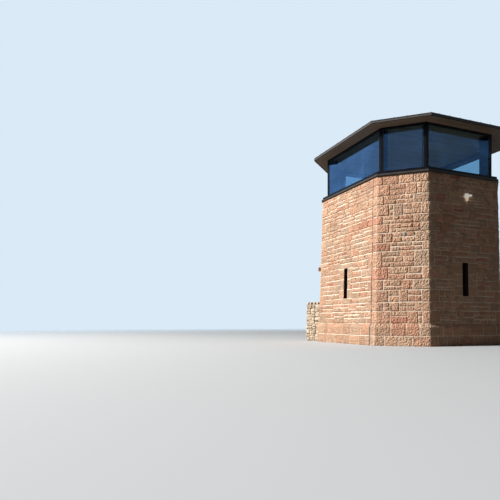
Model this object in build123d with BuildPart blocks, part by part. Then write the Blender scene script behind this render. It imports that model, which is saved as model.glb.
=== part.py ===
from build123d import *
from math import sqrt
import os

os.makedirs("parts", exist_ok=True)

# Stone lookout tower on an oblong eight-sided plan, four wide faces and four narrow corner faces.
# Millimetres. X runs west to east, Y south to north, Z up. The origin is the middle of the plan at
# the foot of the walls. The photograph looks at the west, southwest and south faces.

# Plan at the head of the walls. Every distance outward or inward is measured from this plan
length_x = 5600.0  # outer wall face to outer wall face, west to east
length_y = 6600.0  # outer wall face to outer wall face, south to north
corner_cut = 1230.0  # how far each narrow face cuts back along the two wide ones

# Stone shaft
wall_height = 5995.0  # foot of the walls to the top of the stone
wall_batter = 135.0  # how far the foot of the shaft stands out beyond its head
wall_thickness = 400.0
upper_wall_thickness = 280.0  # above the ledge that carries the lookout floor
plinth_height = 780.0
plinth_projection = 75.0  # beyond the foot of the shaft
plinth_slope_height = 130.0  # sloped top of the plinth course

# Floors
ground_floor_thickness = 150.0
lookout_floor_underside = 5000.0
lookout_floor_thickness = 200.0

# Slit windows, one in the middle of each wide face that has no door
slit_width = 275.0
slit_height = 1180.0
slit_bottom = 1748.0
slit_setback = 100.0  # plan at the wall head to slit frame
slit_frame_width = 28.0
slit_frame_depth = 50.0
slit_glass_thickness = 12.0

# Doorway in the north face
doorway_width = 960.0
doorway_height = 2080.0  # threshold to lintel
door_setback = 60.0  # plan at the wall head to door frame
door_frame_width = 60.0
door_frame_depth = 110.0
door_leaf_thickness = 46.0
door_gap = 4.0  # between leaf and frame on three sides
door_stop_depth = 14.0  # stop strip that the leaf closes on
lintel_bearing = 200.0
lintel_depth = 240.0
handle_height = 1000.0
handle_from_edge = 80.0
handle_length = 220.0
handle_diameter = 20.0
handle_peg_diameter = 14.0
handle_standoff = 45.0

# Metal coping on the wall head
coping_face_height = 73.0
coping_rise = 6.0  # fall of its top from the sill rail to the nose
coping_projection = 52.0

# Glazing
glazing_inset = 175.0  # plan at the wall head to the outer face of the glazing frame
frame_thickness = 70.0
sill_setback = 45.0  # coping nose to the face of the sill rail
sill_face_height = 90.0
sill_slope_height = 46.0  # rise of the sill rail from its face to the glass
glazing_height = 1492.0  # sill rail to head beam
head_beam_depth = 78.0
post_flange = 90.0  # length of each leg of a corner post
glass_thickness = 28.0
rebate_depth = 15.0

# Blade columns in the room, one on the mitre behind each corner post
blade_depth = 320.0
blade_thickness = 40.0

# Roof
eave_overhang = 350.0  # beyond the plan at the wall head
soffit_thickness = 22.0
ceiling_joint = 1.0
fascia_thickness = 30.0
fascia_drop = 25.0  # below the soffit boards
fascia_height = 98.0
roof_rise = 350.0
crown_width = 620.0  # flat top where the hips meet, west to east
deck_thickness = 60.0
sheet_thickness = 6.0
sheet_nose = 8.0
hip_roll_radius = 24.0
crown_cap_edge = 12.0
crown_cap_height = 60.0
crown_cap_tip = 150.0  # flat tip of the cap, west to east

# White lamp and its sensor on the south face
lamp_offset = 73.0  # east of the middle of the face
lamp_below_coping = 615.0  # top of the stone to the top of the hood
lamp_width = 116.0
lamp_hood_height = 110.0
lamp_hood_depth = 120.0
lamp_bowl_height = 150.0
lamp_bowl_top_width = 104.0
lamp_bowl_bottom_width = 68.0
lamp_bowl_depth = 104.0
lamp_plate_width = 90.0
lamp_plate_thickness = 8.0
sensor_offset = 232.0  # east of the middle of the face
sensor_below_coping = 675.0
sensor_diameter = 72.0
sensor_arm_length = 70.0
sensor_arm_diameter = 24.0

# Small lamp on a bracket on the northwest face
bracket_lamp_offset = 560.0  # from the middle of the face towards the west
bracket_lamp_height = 3240.0
bracket_plate_diameter = 90.0
bracket_plate_thickness = 12.0
bracket_arm_length = 178.0  # wall face to the middle of the lantern
bracket_arm_diameter = 22.0
lantern_diameter = 120.0
lantern_height = 130.0
lantern_cap_diameter = 150.0
lantern_cap_height = 45.0

# Lightning conductor tape on the west face
tape_from_corner = 230.0
tape_width = 40.0
tape_thickness = 6.0
tape_joint_height = 870.0  # where the lower length is joined on
tape_clip_width = 70.0
tape_clip_height = 40.0
tape_clip_thickness = 5.0
tape_clip_count = 6

# Low rubble wall that meets the northwest face
rubble_wall_length = 970.0  # from the plan at the wall head
rubble_wall_thickness = 480.0
rubble_wall_height = 1620.0
rubble_wall_batter = 35.0
cope_stone_height = 170.0
cope_stone_gap = 45.0
cope_stone_count = 4

# Levels that follow
plinth_outward = wall_batter + plinth_projection
coping_top = wall_height + coping_face_height + coping_rise
sill_outward = coping_projection - sill_setback
sill_edge = coping_top + sill_face_height
glazing_bottom = sill_edge + sill_slope_height
beam_bottom = glazing_bottom + glazing_height
soffit_level = beam_bottom + head_beam_depth
board_top = soffit_level + soffit_thickness
eave_top = soffit_level - fascia_drop + fascia_height
lookout_floor_level = lookout_floor_underside + lookout_floor_thickness
deck_outer = eave_overhang - fascia_thickness
glazing_inner = glazing_inset + frame_thickness
glass_setback = (frame_thickness - glass_thickness) / 2
lamp_top = wall_height - lamp_below_coping
lamp_bottom = lamp_top - lamp_hood_height - lamp_bowl_height
sensor_height = wall_height - sensor_below_coping
crown_scale = crown_width / (length_x + 2 * deck_outer)

face_names = ["south", "southeast", "east", "northeast", "north", "northwest", "west", "southwest"]
slit_faces = ["south", "east", "west"]


def save(builder, name):
    """Label a finished piece and write it to its own file."""
    builder.part.label = name
    export_step(builder.part, f"parts/{name}.step")


def octagon(outward, scale=1.0):
    """The tower's plan as a face, its sides moved outward from the outer wall face."""
    with BuildSketch(mode=Mode.PRIVATE) as plan:
        Rectangle((length_x + 2 * outward) * scale, (length_y + 2 * outward) * scale)
        chamfer(plan.vertices(), (corner_cut + outward * (2 - sqrt(2))) * scale)
    return plan.sketch


def corners(outward):
    """The eight corners of that plan, anticlockwise from the west end of the south face."""
    hx = length_x / 2 + outward
    hy = length_y / 2 + outward
    cut = corner_cut + outward * (2 - sqrt(2))
    return [
        Vector(-hx + cut, -hy),
        Vector(hx - cut, -hy),
        Vector(hx, -hy + cut),
        Vector(hx, hy - cut),
        Vector(hx - cut, hy),
        Vector(-hx + cut, hy),
        Vector(-hx, hy - cut),
        Vector(-hx, -hy + cut),
    ]


def face_plane(name, outward=0.0, level=0.0, along=0.0):
    """A plane on one face: X along it to the right as seen from outside, Y up, Z outward."""
    i = face_names.index(name)
    ring = corners(outward)
    start, end = ring[i], ring[(i + 1) % 8]
    direction = (end - start).normalized()
    middle = (start + end) * 0.5 + direction * along
    normal = Vector(direction.Y, -direction.X, 0)
    return Plane(origin=(middle.X, middle.Y, level), x_dir=direction, z_dir=normal)


def shelf_plane(name, outward=0.0, level=0.0, along=0.0):
    """A level plane at one face: X along it to the right from outside, Y into the tower, Z up."""
    wall = face_plane(name, outward, level, along)
    return Plane(origin=wall.origin, x_dir=wall.x_dir, z_dir=(0, 0, 1))


def face_length(name, outward=0.0):
    i = face_names.index(name)
    ring = corners(outward)
    return (ring[(i + 1) % 8] - ring[i]).length


def wall_outward(level):
    """How far the battered face stands out at a level, beyond the plan at the wall head."""
    return wall_batter * (wall_height - level) / (wall_height - plinth_height)


def ring_sector(i, outward, inward):
    """Plan of one length of wall, mitred at both corners."""
    outer = corners(outward)
    inner = corners(-inward)
    j = (i + 1) % 8
    with BuildSketch(mode=Mode.PRIVATE) as sector:
        with BuildLine():
            Polyline(outer[i], outer[j], inner[j], inner[i], close=True)
        make_face()
    return sector.sketch


# Plinth course, with a sloped top outside and the doorway through it
with BuildPart() as plinth:
    with BuildSketch(Plane.XY):
        add(octagon(plinth_outward))
    extrude(amount=plinth_height - plinth_slope_height)
    with BuildSketch(Plane.XY.offset(plinth_height - plinth_slope_height)):
        add(octagon(plinth_outward))
    with BuildSketch(Plane.XY.offset(plinth_height)):
        add(octagon(wall_batter))
    loft()
    with BuildSketch(Plane.XY):
        add(octagon(-wall_thickness))
    extrude(amount=plinth_height, mode=Mode.SUBTRACT)
    with BuildSketch(face_plane("north", plinth_outward)):
        Rectangle(doorway_width, plinth_height, align=(Align.CENTER, Align.MIN))
    extrude(amount=-(wall_thickness + plinth_outward), mode=Mode.SUBTRACT)
save(plinth, "plinth")

# Outer form of the shaft, for what is fitted flush with it or against it
with BuildPart() as shaft_form:
    with BuildSketch(Plane.XY.offset(plinth_height)):
        add(octagon(wall_batter))
    with BuildSketch(Plane.XY.offset(wall_height)):
        add(octagon(0))
    loft()

# Shaft walls, one length for each face: battered outside, plumb inside, and thinner above the ledge
# of the lookout floor
opening_depth = wall_batter + wall_thickness
for i, name in enumerate(face_names):
    with BuildPart() as wall:
        with BuildSketch(Plane.XY.offset(plinth_height)):
            add(ring_sector(i, wall_batter, upper_wall_thickness))
        with BuildSketch(Plane.XY.offset(wall_height)):
            add(ring_sector(i, 0.0, upper_wall_thickness))
        loft()
        with BuildSketch(Plane.XY.offset(plinth_height)):
            add(ring_sector(i, -upper_wall_thickness, wall_thickness))
        extrude(amount=lookout_floor_underside - plinth_height)
        if name in slit_faces:
            with BuildSketch(face_plane(name, wall_batter, slit_bottom)):
                Rectangle(slit_width, slit_height, align=(Align.CENTER, Align.MIN))
            extrude(amount=-opening_depth, mode=Mode.SUBTRACT)
        if name == "north":
            with BuildSketch(face_plane(name, wall_batter, ground_floor_thickness)):
                Rectangle(doorway_width, doorway_height, align=(Align.CENTER, Align.MIN))
            extrude(amount=-opening_depth, mode=Mode.SUBTRACT)
            with BuildSketch(face_plane(name, wall_batter, ground_floor_thickness + doorway_height)):
                Rectangle(
                    doorway_width + 2 * lintel_bearing, lintel_depth, align=(Align.CENTER, Align.MIN)
                )
            extrude(amount=-opening_depth, mode=Mode.SUBTRACT)
    save(wall, f"{name}_wall")

# Floors
with BuildPart() as ground_floor:
    with BuildSketch(Plane.XY):
        add(octagon(-wall_thickness))
    extrude(amount=ground_floor_thickness)
save(ground_floor, "ground_floor")

with BuildPart() as lookout_floor:
    with BuildSketch(Plane.XY.offset(lookout_floor_underside)):
        add(octagon(-upper_wall_thickness))
    extrude(amount=lookout_floor_thickness)
save(lookout_floor, "lookout_floor")

# Slit windows: a metal frame with a fixed pane, set back in the wall
with BuildPart() as slit_frames:
    for name in slit_faces:
        with BuildSketch(face_plane(name, -slit_setback, slit_bottom)):
            Rectangle(slit_width, slit_height, align=(Align.CENTER, Align.MIN))
            with Locations((0, slit_frame_width)):
                Rectangle(
                    slit_width - 2 * slit_frame_width,
                    slit_height - 2 * slit_frame_width,
                    align=(Align.CENTER, Align.MIN),
                    mode=Mode.SUBTRACT,
                )
        extrude(amount=-slit_frame_depth)
save(slit_frames, "slit_frames")

with BuildPart() as slit_panes:
    for name in slit_faces:
        pane_setback = slit_setback + (slit_frame_depth - slit_glass_thickness) / 2
        with BuildSketch(face_plane(name, -pane_setback, slit_bottom + slit_frame_width)):
            Rectangle(
                slit_width - 2 * slit_frame_width,
                slit_height - 2 * slit_frame_width,
                align=(Align.CENTER, Align.MIN),
            )
        extrude(amount=-slit_glass_thickness)
save(slit_panes, "slit_panes")

# Entrance: stone threshold and lintel, door frame, boarded leaf and pull handle
with BuildPart() as door_threshold:
    with BuildSketch(face_plane("north", plinth_outward)):
        Rectangle(doorway_width, ground_floor_thickness, align=(Align.CENTER, Align.MIN))
    extrude(amount=-(wall_thickness + plinth_outward))
save(door_threshold, "door_threshold")

with BuildPart() as door_lintel:
    with BuildSketch(face_plane("north", wall_batter, ground_floor_thickness + doorway_height)):
        Rectangle(doorway_width + 2 * lintel_bearing, lintel_depth, align=(Align.CENTER, Align.MIN))
    extrude(amount=-opening_depth)
    add(shaft_form.part, mode=Mode.INTERSECT)
save(door_lintel, "door_lintel")

leaf_width = doorway_width - 2 * door_frame_width - 2 * door_gap
leaf_height = doorway_height - door_frame_width - door_gap
with BuildPart() as door_frame:
    with BuildSketch(face_plane("north", -door_setback, ground_floor_thickness)):
        Rectangle(doorway_width, doorway_height, align=(Align.CENTER, Align.MIN))
        Rectangle(
            doorway_width - 2 * door_frame_width,
            doorway_height - door_frame_width,
            align=(Align.CENTER, Align.MIN),
            mode=Mode.SUBTRACT,
        )
    extrude(amount=-door_frame_depth)
    stop_setback = door_setback + door_leaf_thickness
    with BuildSketch(face_plane("north", -stop_setback, ground_floor_thickness)):
        Rectangle(
            doorway_width - 2 * door_frame_width,
            doorway_height - door_frame_width,
            align=(Align.CENTER, Align.MIN),
        )
        Rectangle(
            doorway_width - 2 * door_frame_width - 2 * door_stop_depth,
            doorway_height - door_frame_width - door_stop_depth,
            align=(Align.CENTER, Align.MIN),
            mode=Mode.SUBTRACT,
        )
    extrude(amount=-(door_frame_depth - door_leaf_thickness))
save(door_frame, "door_frame")

with BuildPart() as door_leaf:
    with BuildSketch(face_plane("north", -door_setback, ground_floor_thickness)):
        Rectangle(leaf_width, leaf_height, align=(Align.CENTER, Align.MIN))
    extrude(amount=-door_leaf_thickness)
save(door_leaf, "door_leaf")

handle_along = leaf_width / 2 - handle_from_edge
handle_level = ground_floor_thickness + handle_height
handle_outward = handle_standoff - door_setback
with BuildPart() as door_handle:
    with BuildSketch(shelf_plane("north", handle_outward, handle_level, handle_along)):
        Circle(handle_diameter / 2)
    extrude(amount=handle_length)
    for level in (handle_level + handle_diameter, handle_level + handle_length - handle_diameter):
        with BuildSketch(face_plane("north", -door_setback, level, handle_along)):
            Circle(handle_peg_diameter / 2)
        extrude(amount=handle_standoff)
save(door_handle, "door_handle")

# Metal coping that caps the wall head and falls outward
with BuildPart() as coping:
    with BuildSketch(Plane.XY.offset(wall_height)):
        add(octagon(coping_projection))
    extrude(amount=coping_face_height)
    with BuildSketch(Plane.XY.offset(wall_height + coping_face_height)):
        add(octagon(coping_projection))
    with BuildSketch(Plane.XY.offset(coping_top)):
        add(octagon(sill_outward))
    loft()
    with BuildSketch(Plane.XY.offset(wall_height)):
        add(octagon(-upper_wall_thickness))
    extrude(amount=coping_face_height + coping_rise, mode=Mode.SUBTRACT)
save(coping, "coping")

# Rails round the foot and head of the glazing, rebated for the glass. The lower one is a broad sill
# with an upright face behind the coping's nose and a top that falls outward
with BuildPart() as sill_rail:
    with BuildSketch(Plane.XY.offset(coping_top)):
        add(octagon(sill_outward))
    extrude(amount=sill_face_height)
    with BuildSketch(Plane.XY.offset(sill_edge)):
        add(octagon(sill_outward))
    with BuildSketch(Plane.XY.offset(glazing_bottom)):
        add(octagon(-glazing_inset))
    loft()
    with BuildSketch(Plane.XY.offset(coping_top)):
        add(octagon(-glazing_inner))
    extrude(amount=glazing_bottom - coping_top, mode=Mode.SUBTRACT)
    with BuildSketch(Plane.XY.offset(glazing_bottom)):
        add(octagon(-glazing_inset - glass_setback))
        add(octagon(-glazing_inner + glass_setback), mode=Mode.SUBTRACT)
    extrude(amount=-rebate_depth, mode=Mode.SUBTRACT)
save(sill_rail, "sill_rail")

with BuildPart() as head_beam:
    with BuildSketch(Plane.XY.offset(beam_bottom)):
        add(octagon(-glazing_inset))
        add(octagon(-glazing_inner), mode=Mode.SUBTRACT)
    extrude(amount=head_beam_depth)
    with BuildSketch(Plane.XY.offset(beam_bottom)):
        add(octagon(-glazing_inset - glass_setback))
        add(octagon(-glazing_inner + glass_setback), mode=Mode.SUBTRACT)
    extrude(amount=rebate_depth, mode=Mode.SUBTRACT)
save(head_beam, "head_beam")

# Glass between the posts, held in the rebates on all four sides
with BuildPart() as glass_panes:
    for name in face_names:
        width = face_length(name, -glazing_inset) - 2 * (post_flange - rebate_depth)
        with BuildSketch(
            face_plane(name, -glazing_inset - glass_setback, glazing_bottom - rebate_depth)
        ):
            Rectangle(width, glazing_height + 2 * rebate_depth, align=(Align.CENTER, Align.MIN))
        extrude(amount=-glass_thickness)
save(glass_panes, "glass_panes")

# Corner posts: two legs meeting on the mitre, each rebated for its pane
with BuildPart() as corner_posts:
    outer = corners(-glazing_inset)
    inner = corners(-glazing_inner)
    for i in range(8):
        before = (outer[i] - outer[i - 1]).normalized()
        after = (outer[(i + 1) % 8] - outer[i]).normalized()
        in_before = Vector(-before.Y, before.X) * frame_thickness
        in_after = Vector(-after.Y, after.X) * frame_thickness
        leg_before = outer[i] - before * post_flange
        leg_after = outer[i] + after * post_flange
        with BuildSketch(Plane.XY.offset(glazing_bottom)):
            with BuildLine():
                Polyline(
                    outer[i],
                    leg_after,
                    leg_after + in_after,
                    inner[i],
                    leg_before + in_before,
                    leg_before,
                    close=True,
                )
            make_face()
        extrude(amount=glazing_height)
    for name in face_names:
        width = face_length(name, -glazing_inset) - 2 * (post_flange - rebate_depth)
        with BuildSketch(face_plane(name, -glazing_inset - glass_setback, glazing_bottom)):
            Rectangle(width, glazing_height, align=(Align.CENTER, Align.MIN))
        extrude(amount=-glass_thickness, mode=Mode.SUBTRACT)
save(corner_posts, "corner_posts")

# Blade columns from the lookout floor to the ceiling, clear of the wall's inner corners
blade_start = upper_wall_thickness + blade_thickness / 2
with BuildPart() as blade_columns:
    for nose, further in zip(corners(-blade_start), corners(-blade_start - blade_depth)):
        inward = (further - nose).normalized()
        foot = Vector(nose.X, nose.Y, lookout_floor_level)
        with BuildSketch(Plane(origin=foot, x_dir=inward, z_dir=(0, 0, 1))):
            Rectangle(blade_depth, blade_thickness, align=(Align.MIN, Align.CENTER))
        extrude(amount=soffit_level - lookout_floor_level)
save(blade_columns, "blade_columns")

# Boards under the eaves and over the room, meeting on the head beam
board_joint = glazing_inset + frame_thickness / 2
with BuildPart() as soffit:
    with BuildSketch(Plane.XY.offset(soffit_level)):
        add(octagon(deck_outer))
        add(octagon(-board_joint), mode=Mode.SUBTRACT)
    extrude(amount=soffit_thickness)
save(soffit, "soffit")

with BuildPart() as ceiling:
    with BuildSketch(Plane.XY.offset(soffit_level)):
        add(octagon(-board_joint - ceiling_joint))
    extrude(amount=soffit_thickness)
save(ceiling, "ceiling")

# Fascia round the eaves, hanging below the soffit as a drip
with BuildPart() as fascia:
    with BuildSketch(Plane.XY.offset(soffit_level - fascia_drop)):
        add(octagon(eave_overhang))
        add(octagon(deck_outer), mode=Mode.SUBTRACT)
    extrude(amount=fascia_height)
save(fascia, "fascia")

# Shallow hipped roof: a deck with a low void over the ceiling, all hips meeting at the crown
with BuildPart() as roof_deck:
    with BuildSketch(Plane.XY.offset(board_top)):
        add(octagon(deck_outer))
    extrude(amount=eave_top - board_top)
    with BuildSketch(Plane.XY.offset(eave_top)):
        add(octagon(deck_outer))
    with BuildSketch(Plane.XY.offset(eave_top + roof_rise)):
        add(octagon(deck_outer, crown_scale))
    loft()
    with BuildSketch(Plane.XY.offset(board_top)):
        add(octagon(-glazing_inner))
    with BuildSketch(Plane.XY.offset(eave_top + roof_rise - deck_thickness)):
        add(octagon(-glazing_inner, crown_scale))
    loft(mode=Mode.SUBTRACT)
save(roof_deck, "roof_deck")

# Metal sheet over the deck, with a small nose over the fascia
with BuildPart() as roof_sheet:
    with BuildSketch(Plane.XY.offset(eave_top)):
        add(octagon(eave_overhang + sheet_nose))
    extrude(amount=sheet_thickness)
    with BuildSketch(Plane.XY.offset(eave_top + sheet_thickness)):
        add(octagon(deck_outer))
    with BuildSketch(Plane.XY.offset(eave_top + sheet_thickness + roof_rise)):
        add(octagon(deck_outer, crown_scale))
    loft()
    with BuildSketch(Plane.XY.offset(eave_top)):
        add(octagon(deck_outer))
    with BuildSketch(Plane.XY.offset(eave_top + roof_rise)):
        add(octagon(deck_outer, crown_scale))
    loft(mode=Mode.SUBTRACT)
save(roof_sheet, "roof_sheet")

# Crown cap over the top of the hips
crown_level = eave_top + roof_rise + sheet_thickness
with BuildPart() as crown_cap:
    with BuildSketch(Plane.XY.offset(crown_level)):
        add(octagon(deck_outer, crown_scale))
    extrude(amount=crown_cap_edge)
    with BuildSketch(Plane.XY.offset(crown_level + crown_cap_edge)):
        add(octagon(deck_outer, crown_scale))
    with BuildSketch(Plane.XY.offset(crown_level + crown_cap_height)):
        add(octagon(deck_outer, crown_scale * crown_cap_tip / crown_width))
    loft()
save(crown_cap, "crown_cap")

# Rolls over the eight hips, from the eaves to the crown, lying on the sheet
with BuildPart() as roof_form:
    with BuildSketch(Plane.XY.offset(soffit_level)):
        add(octagon(eave_overhang + sheet_nose))
    extrude(amount=eave_top + sheet_thickness - soffit_level)
    with BuildSketch(Plane.XY.offset(eave_top + sheet_thickness)):
        add(octagon(deck_outer))
    with BuildSketch(Plane.XY.offset(crown_level)):
        add(octagon(deck_outer, crown_scale))
    loft()

with BuildPart() as hip_rolls:
    for corner in corners(deck_outer):
        foot = Vector(corner.X, corner.Y, eave_top + sheet_thickness)
        head = Vector(corner.X * crown_scale, corner.Y * crown_scale, crown_level)
        with BuildSketch(Plane(origin=foot, z_dir=head - foot)):
            Circle(hip_roll_radius)
        extrude(amount=(head - foot).length)
    add(roof_form.part, mode=Mode.SUBTRACT)
    add(crown_cap.part, mode=Mode.SUBTRACT)
save(hip_rolls, "hip_rolls")

# White lamp on the south face: back plate packed out plumb, hood and narrowing bowl
plate_foot = lamp_bottom + lamp_bowl_height / 2
plate_front = wall_outward(plate_foot) + lamp_plate_thickness
with BuildPart() as lamp_plate:
    with BuildSketch(face_plane("south", plate_front, plate_foot, lamp_offset)):
        Rectangle(lamp_plate_width, lamp_top - plate_foot, align=(Align.CENTER, Align.MIN))
    extrude(amount=-plate_front)
    add(shaft_form.part, mode=Mode.SUBTRACT)
save(lamp_plate, "lamp_plate")

with BuildPart() as lamp_hood:
    with BuildSketch(shelf_plane("south", plate_front, lamp_bottom + lamp_bowl_height, lamp_offset)):
        Rectangle(lamp_width, lamp_hood_depth, align=(Align.CENTER, Align.MAX))
    extrude(amount=lamp_hood_height)
    fillet(lamp_hood.faces().sort_by(Axis.Z)[-1].edges().sort_by(Axis.Y)[0], lamp_hood_height * 0.6)
save(lamp_hood, "lamp_hood")

with BuildPart() as lamp_bowl:
    bowl_middle = plate_front + lamp_hood_depth / 2
    with BuildSketch(shelf_plane("south", bowl_middle, lamp_bottom + lamp_bowl_height, lamp_offset)):
        RectangleRounded(lamp_bowl_top_width, lamp_bowl_depth, lamp_bowl_depth / 6)
    with BuildSketch(shelf_plane("south", bowl_middle, lamp_bottom, lamp_offset)):
        RectangleRounded(lamp_bowl_bottom_width, lamp_bowl_depth * 0.6, lamp_bowl_depth / 6)
    loft()
save(lamp_bowl, "lamp_bowl")

# Movement sensor beside the lamp: an arm from the wall with a round head
sensor_back = wall_outward(sensor_height) + sensor_arm_length
with BuildPart() as lamp_sensor:
    with BuildSketch(face_plane("south", sensor_back, sensor_height, sensor_offset)):
        Circle(sensor_diameter / 2)
    extrude(amount=sensor_diameter * 0.8)
    fillet(lamp_sensor.edges().filter_by(GeomType.CIRCLE).sort_by(Axis.Y)[0], sensor_diameter / 4)
    with BuildSketch(face_plane("south", sensor_back, sensor_height, sensor_offset)):
        Circle(sensor_arm_diameter / 2)
    extrude(amount=-sensor_back)
    add(shaft_form.part, mode=Mode.SUBTRACT)
save(lamp_sensor, "lamp_sensor")

# Small lantern on a bracket on the northwest face
bracket_foot = bracket_lamp_height - bracket_plate_diameter / 2
bracket_front = wall_outward(bracket_foot) + bracket_plate_thickness
bracket_tip = wall_outward(bracket_lamp_height) + bracket_arm_length
with BuildPart() as bracket_lamp_arm:
    with BuildSketch(
        face_plane("northwest", bracket_front, bracket_lamp_height, bracket_lamp_offset)
    ):
        Circle(bracket_plate_diameter / 2)
    extrude(amount=-bracket_front)
    add(shaft_form.part, mode=Mode.SUBTRACT)
    with BuildSketch(
        face_plane("northwest", bracket_front, bracket_lamp_height, bracket_lamp_offset)
    ):
        Circle(bracket_arm_diameter / 2)
    extrude(amount=bracket_tip - bracket_front)
save(bracket_lamp_arm, "bracket_lamp_arm")

lantern_foot = bracket_lamp_height - bracket_arm_diameter / 2 - lantern_height - lantern_cap_height
cap_foot = lantern_foot + lantern_height
with BuildPart() as bracket_lamp:
    with BuildSketch(shelf_plane("northwest", bracket_tip, lantern_foot, bracket_lamp_offset)):
        Circle(lantern_diameter / 2)
    extrude(amount=lantern_height)
    with BuildSketch(shelf_plane("northwest", bracket_tip, cap_foot, bracket_lamp_offset)):
        Circle(lantern_cap_diameter / 2)
    with BuildSketch(
        shelf_plane("northwest", bracket_tip, cap_foot + lantern_cap_height, bracket_lamp_offset)
    ):
        Circle(bracket_arm_diameter / 2)
    loft()
save(bracket_lamp, "bracket_lamp")

# Lightning conductor tape down the west face, in a length on the shaft and one over the plinth
tape_along = face_length("west") / 2 - tape_from_corner
tape_side = face_plane("west", along=tape_along)
tape_start = wall_height + tape_width
with BuildPart() as lightning_tape:
    with BuildSketch(Plane(origin=tape_side.origin, x_dir=tape_side.z_dir, z_dir=-tape_side.x_dir)):
        with BuildLine():
            Polyline(
                (wall_outward(tape_start), tape_start),
                (wall_batter, plinth_height),
                (plinth_outward, plinth_height - plinth_slope_height),
                (plinth_outward, 0),
            )
            offset(amount=tape_thickness, side=Side.LEFT, kind=Kind.INTERSECTION)
        make_face()
    extrude(amount=tape_width / 2, both=True)
    split(bisect_by=Plane.XY.offset(wall_height), keep=Keep.BOTTOM)
    split(bisect_by=Plane.XY.offset(tape_joint_height), keep=Keep.BOTH)
save(lightning_tape, "lightning_tape")

clip_span = wall_height - plinth_height
wall_lean = Vector(0, 0, wall_batter / clip_span)  # added to a face's outward direction
with BuildPart() as tape_clips:
    for i in range(tape_clip_count):
        level = plinth_height + clip_span * (i + 0.5) / tape_clip_count
        seat = face_plane("west", wall_outward(level), level, tape_along)
        clip_plane = Plane(origin=seat.origin, x_dir=seat.x_dir, z_dir=seat.z_dir + wall_lean)
        with BuildSketch(clip_plane):
            Rectangle(tape_clip_width, tape_clip_height)
        extrude(amount=tape_thickness + tape_clip_thickness)
        with BuildSketch(clip_plane):
            Rectangle(tape_width, tape_clip_height)
        extrude(amount=tape_thickness, mode=Mode.SUBTRACT)
save(tape_clips, "tape_clips")

# Low rubble wall against the northwest face, battered on both sides, with upright cope stones
with BuildPart() as rubble_wall:
    with BuildSketch(face_plane("northwest")):
        with BuildLine():
            half = rubble_wall_thickness / 2
            Polyline(
                (-half, 0),
                (half, 0),
                (half - rubble_wall_batter, rubble_wall_height),
                (-half + rubble_wall_batter, rubble_wall_height),
                close=True,
            )
        make_face()
    extrude(amount=rubble_wall_length)
    add(plinth.part, mode=Mode.SUBTRACT)
    add(shaft_form.part, mode=Mode.SUBTRACT)
save(rubble_wall, "rubble_wall")

cope_start = wall_outward(rubble_wall_height)
cope_spacing = (rubble_wall_length - cope_start) / cope_stone_count
with BuildPart() as cope_stones:
    for i in range(cope_stone_count):
        middle = cope_start + cope_spacing * (i + 0.5)
        with BuildSketch(shelf_plane("northwest", middle, rubble_wall_height)):
            Rectangle(rubble_wall_thickness - 2 * rubble_wall_batter, cope_spacing - cope_stone_gap)
        extrude(amount=cope_stone_height, taper=4)
save(cope_stones, "cope_stones")
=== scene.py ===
# %% [markdown]
# # A stone observation tower
#
# The tower is an eight-sided stone shaft that carries a glazed lookout room under a shallow
# hipped roof. The solid model gives its true sizes. This lesson dresses that model: it lays the
# stones, boards, seams and fittings on it, and gives every surface a finish made from nodes.
# The first step loads the solid model as a fixed frame. Nothing in it is moved or reshaped: what
# follows is either a new piece in the same place or a new material on a solid.

# %% Load the solid model
import math
import random

import bmesh
import bpy
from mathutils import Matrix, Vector


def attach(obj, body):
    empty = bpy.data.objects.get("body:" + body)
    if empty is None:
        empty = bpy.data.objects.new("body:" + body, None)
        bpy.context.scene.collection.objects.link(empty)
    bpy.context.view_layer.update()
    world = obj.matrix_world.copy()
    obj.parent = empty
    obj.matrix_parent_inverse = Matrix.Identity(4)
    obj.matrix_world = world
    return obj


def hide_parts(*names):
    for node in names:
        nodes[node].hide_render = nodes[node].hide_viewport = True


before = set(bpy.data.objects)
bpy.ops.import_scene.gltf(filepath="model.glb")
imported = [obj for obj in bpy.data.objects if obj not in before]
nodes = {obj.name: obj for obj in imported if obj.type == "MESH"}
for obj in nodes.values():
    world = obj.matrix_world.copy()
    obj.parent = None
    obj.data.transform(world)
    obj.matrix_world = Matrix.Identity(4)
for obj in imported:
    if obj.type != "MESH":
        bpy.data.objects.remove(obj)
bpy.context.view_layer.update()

print("solid nodes:", len(nodes))

# %% [markdown]
# ## The camera
#
# The photograph looks level from standing height and slightly lower ground, and its vanishing
# point isn't in the middle of the frame. A level camera with a small lens shift gives upright
# walls that stay parallel. Tilting the camera instead would make them lean.

# %% Camera
view = bpy.data.cameras.new("view")
view.lens = 36.22
view.sensor_width = 36.0
view.shift_x = -0.078
view.shift_y = 0.1436
view.clip_end = 400.0
viewer = bpy.data.objects.new("viewer", view)
viewer.location = (-12.870, -17.128, 0.843)
viewer.rotation_euler = (math.radians(90.0), 0.0, math.radians(-23.80))
bpy.context.scene.collection.objects.link(viewer)
bpy.context.scene.camera = viewer
print("camera", tuple(round(c, 2) for c in viewer.location))

# %% [markdown]
# ## Node expressions
#
# Materials and Geometry Nodes trees are both graphs of nodes. Written node by node they are long
# and hard to read, so one small class wraps an output socket, and ordinary arithmetic on it adds
# the Math nodes. Colours and vectors must not go through a Math node, which would keep only one
# number of them, so for those the class picks a Mix or a Vector Math node.

# %% The wire class
def arithmetic(operation):
    """A method that joins a wire and another value by one node."""
    return lambda self, other: self.combine(operation, self, other)


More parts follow.
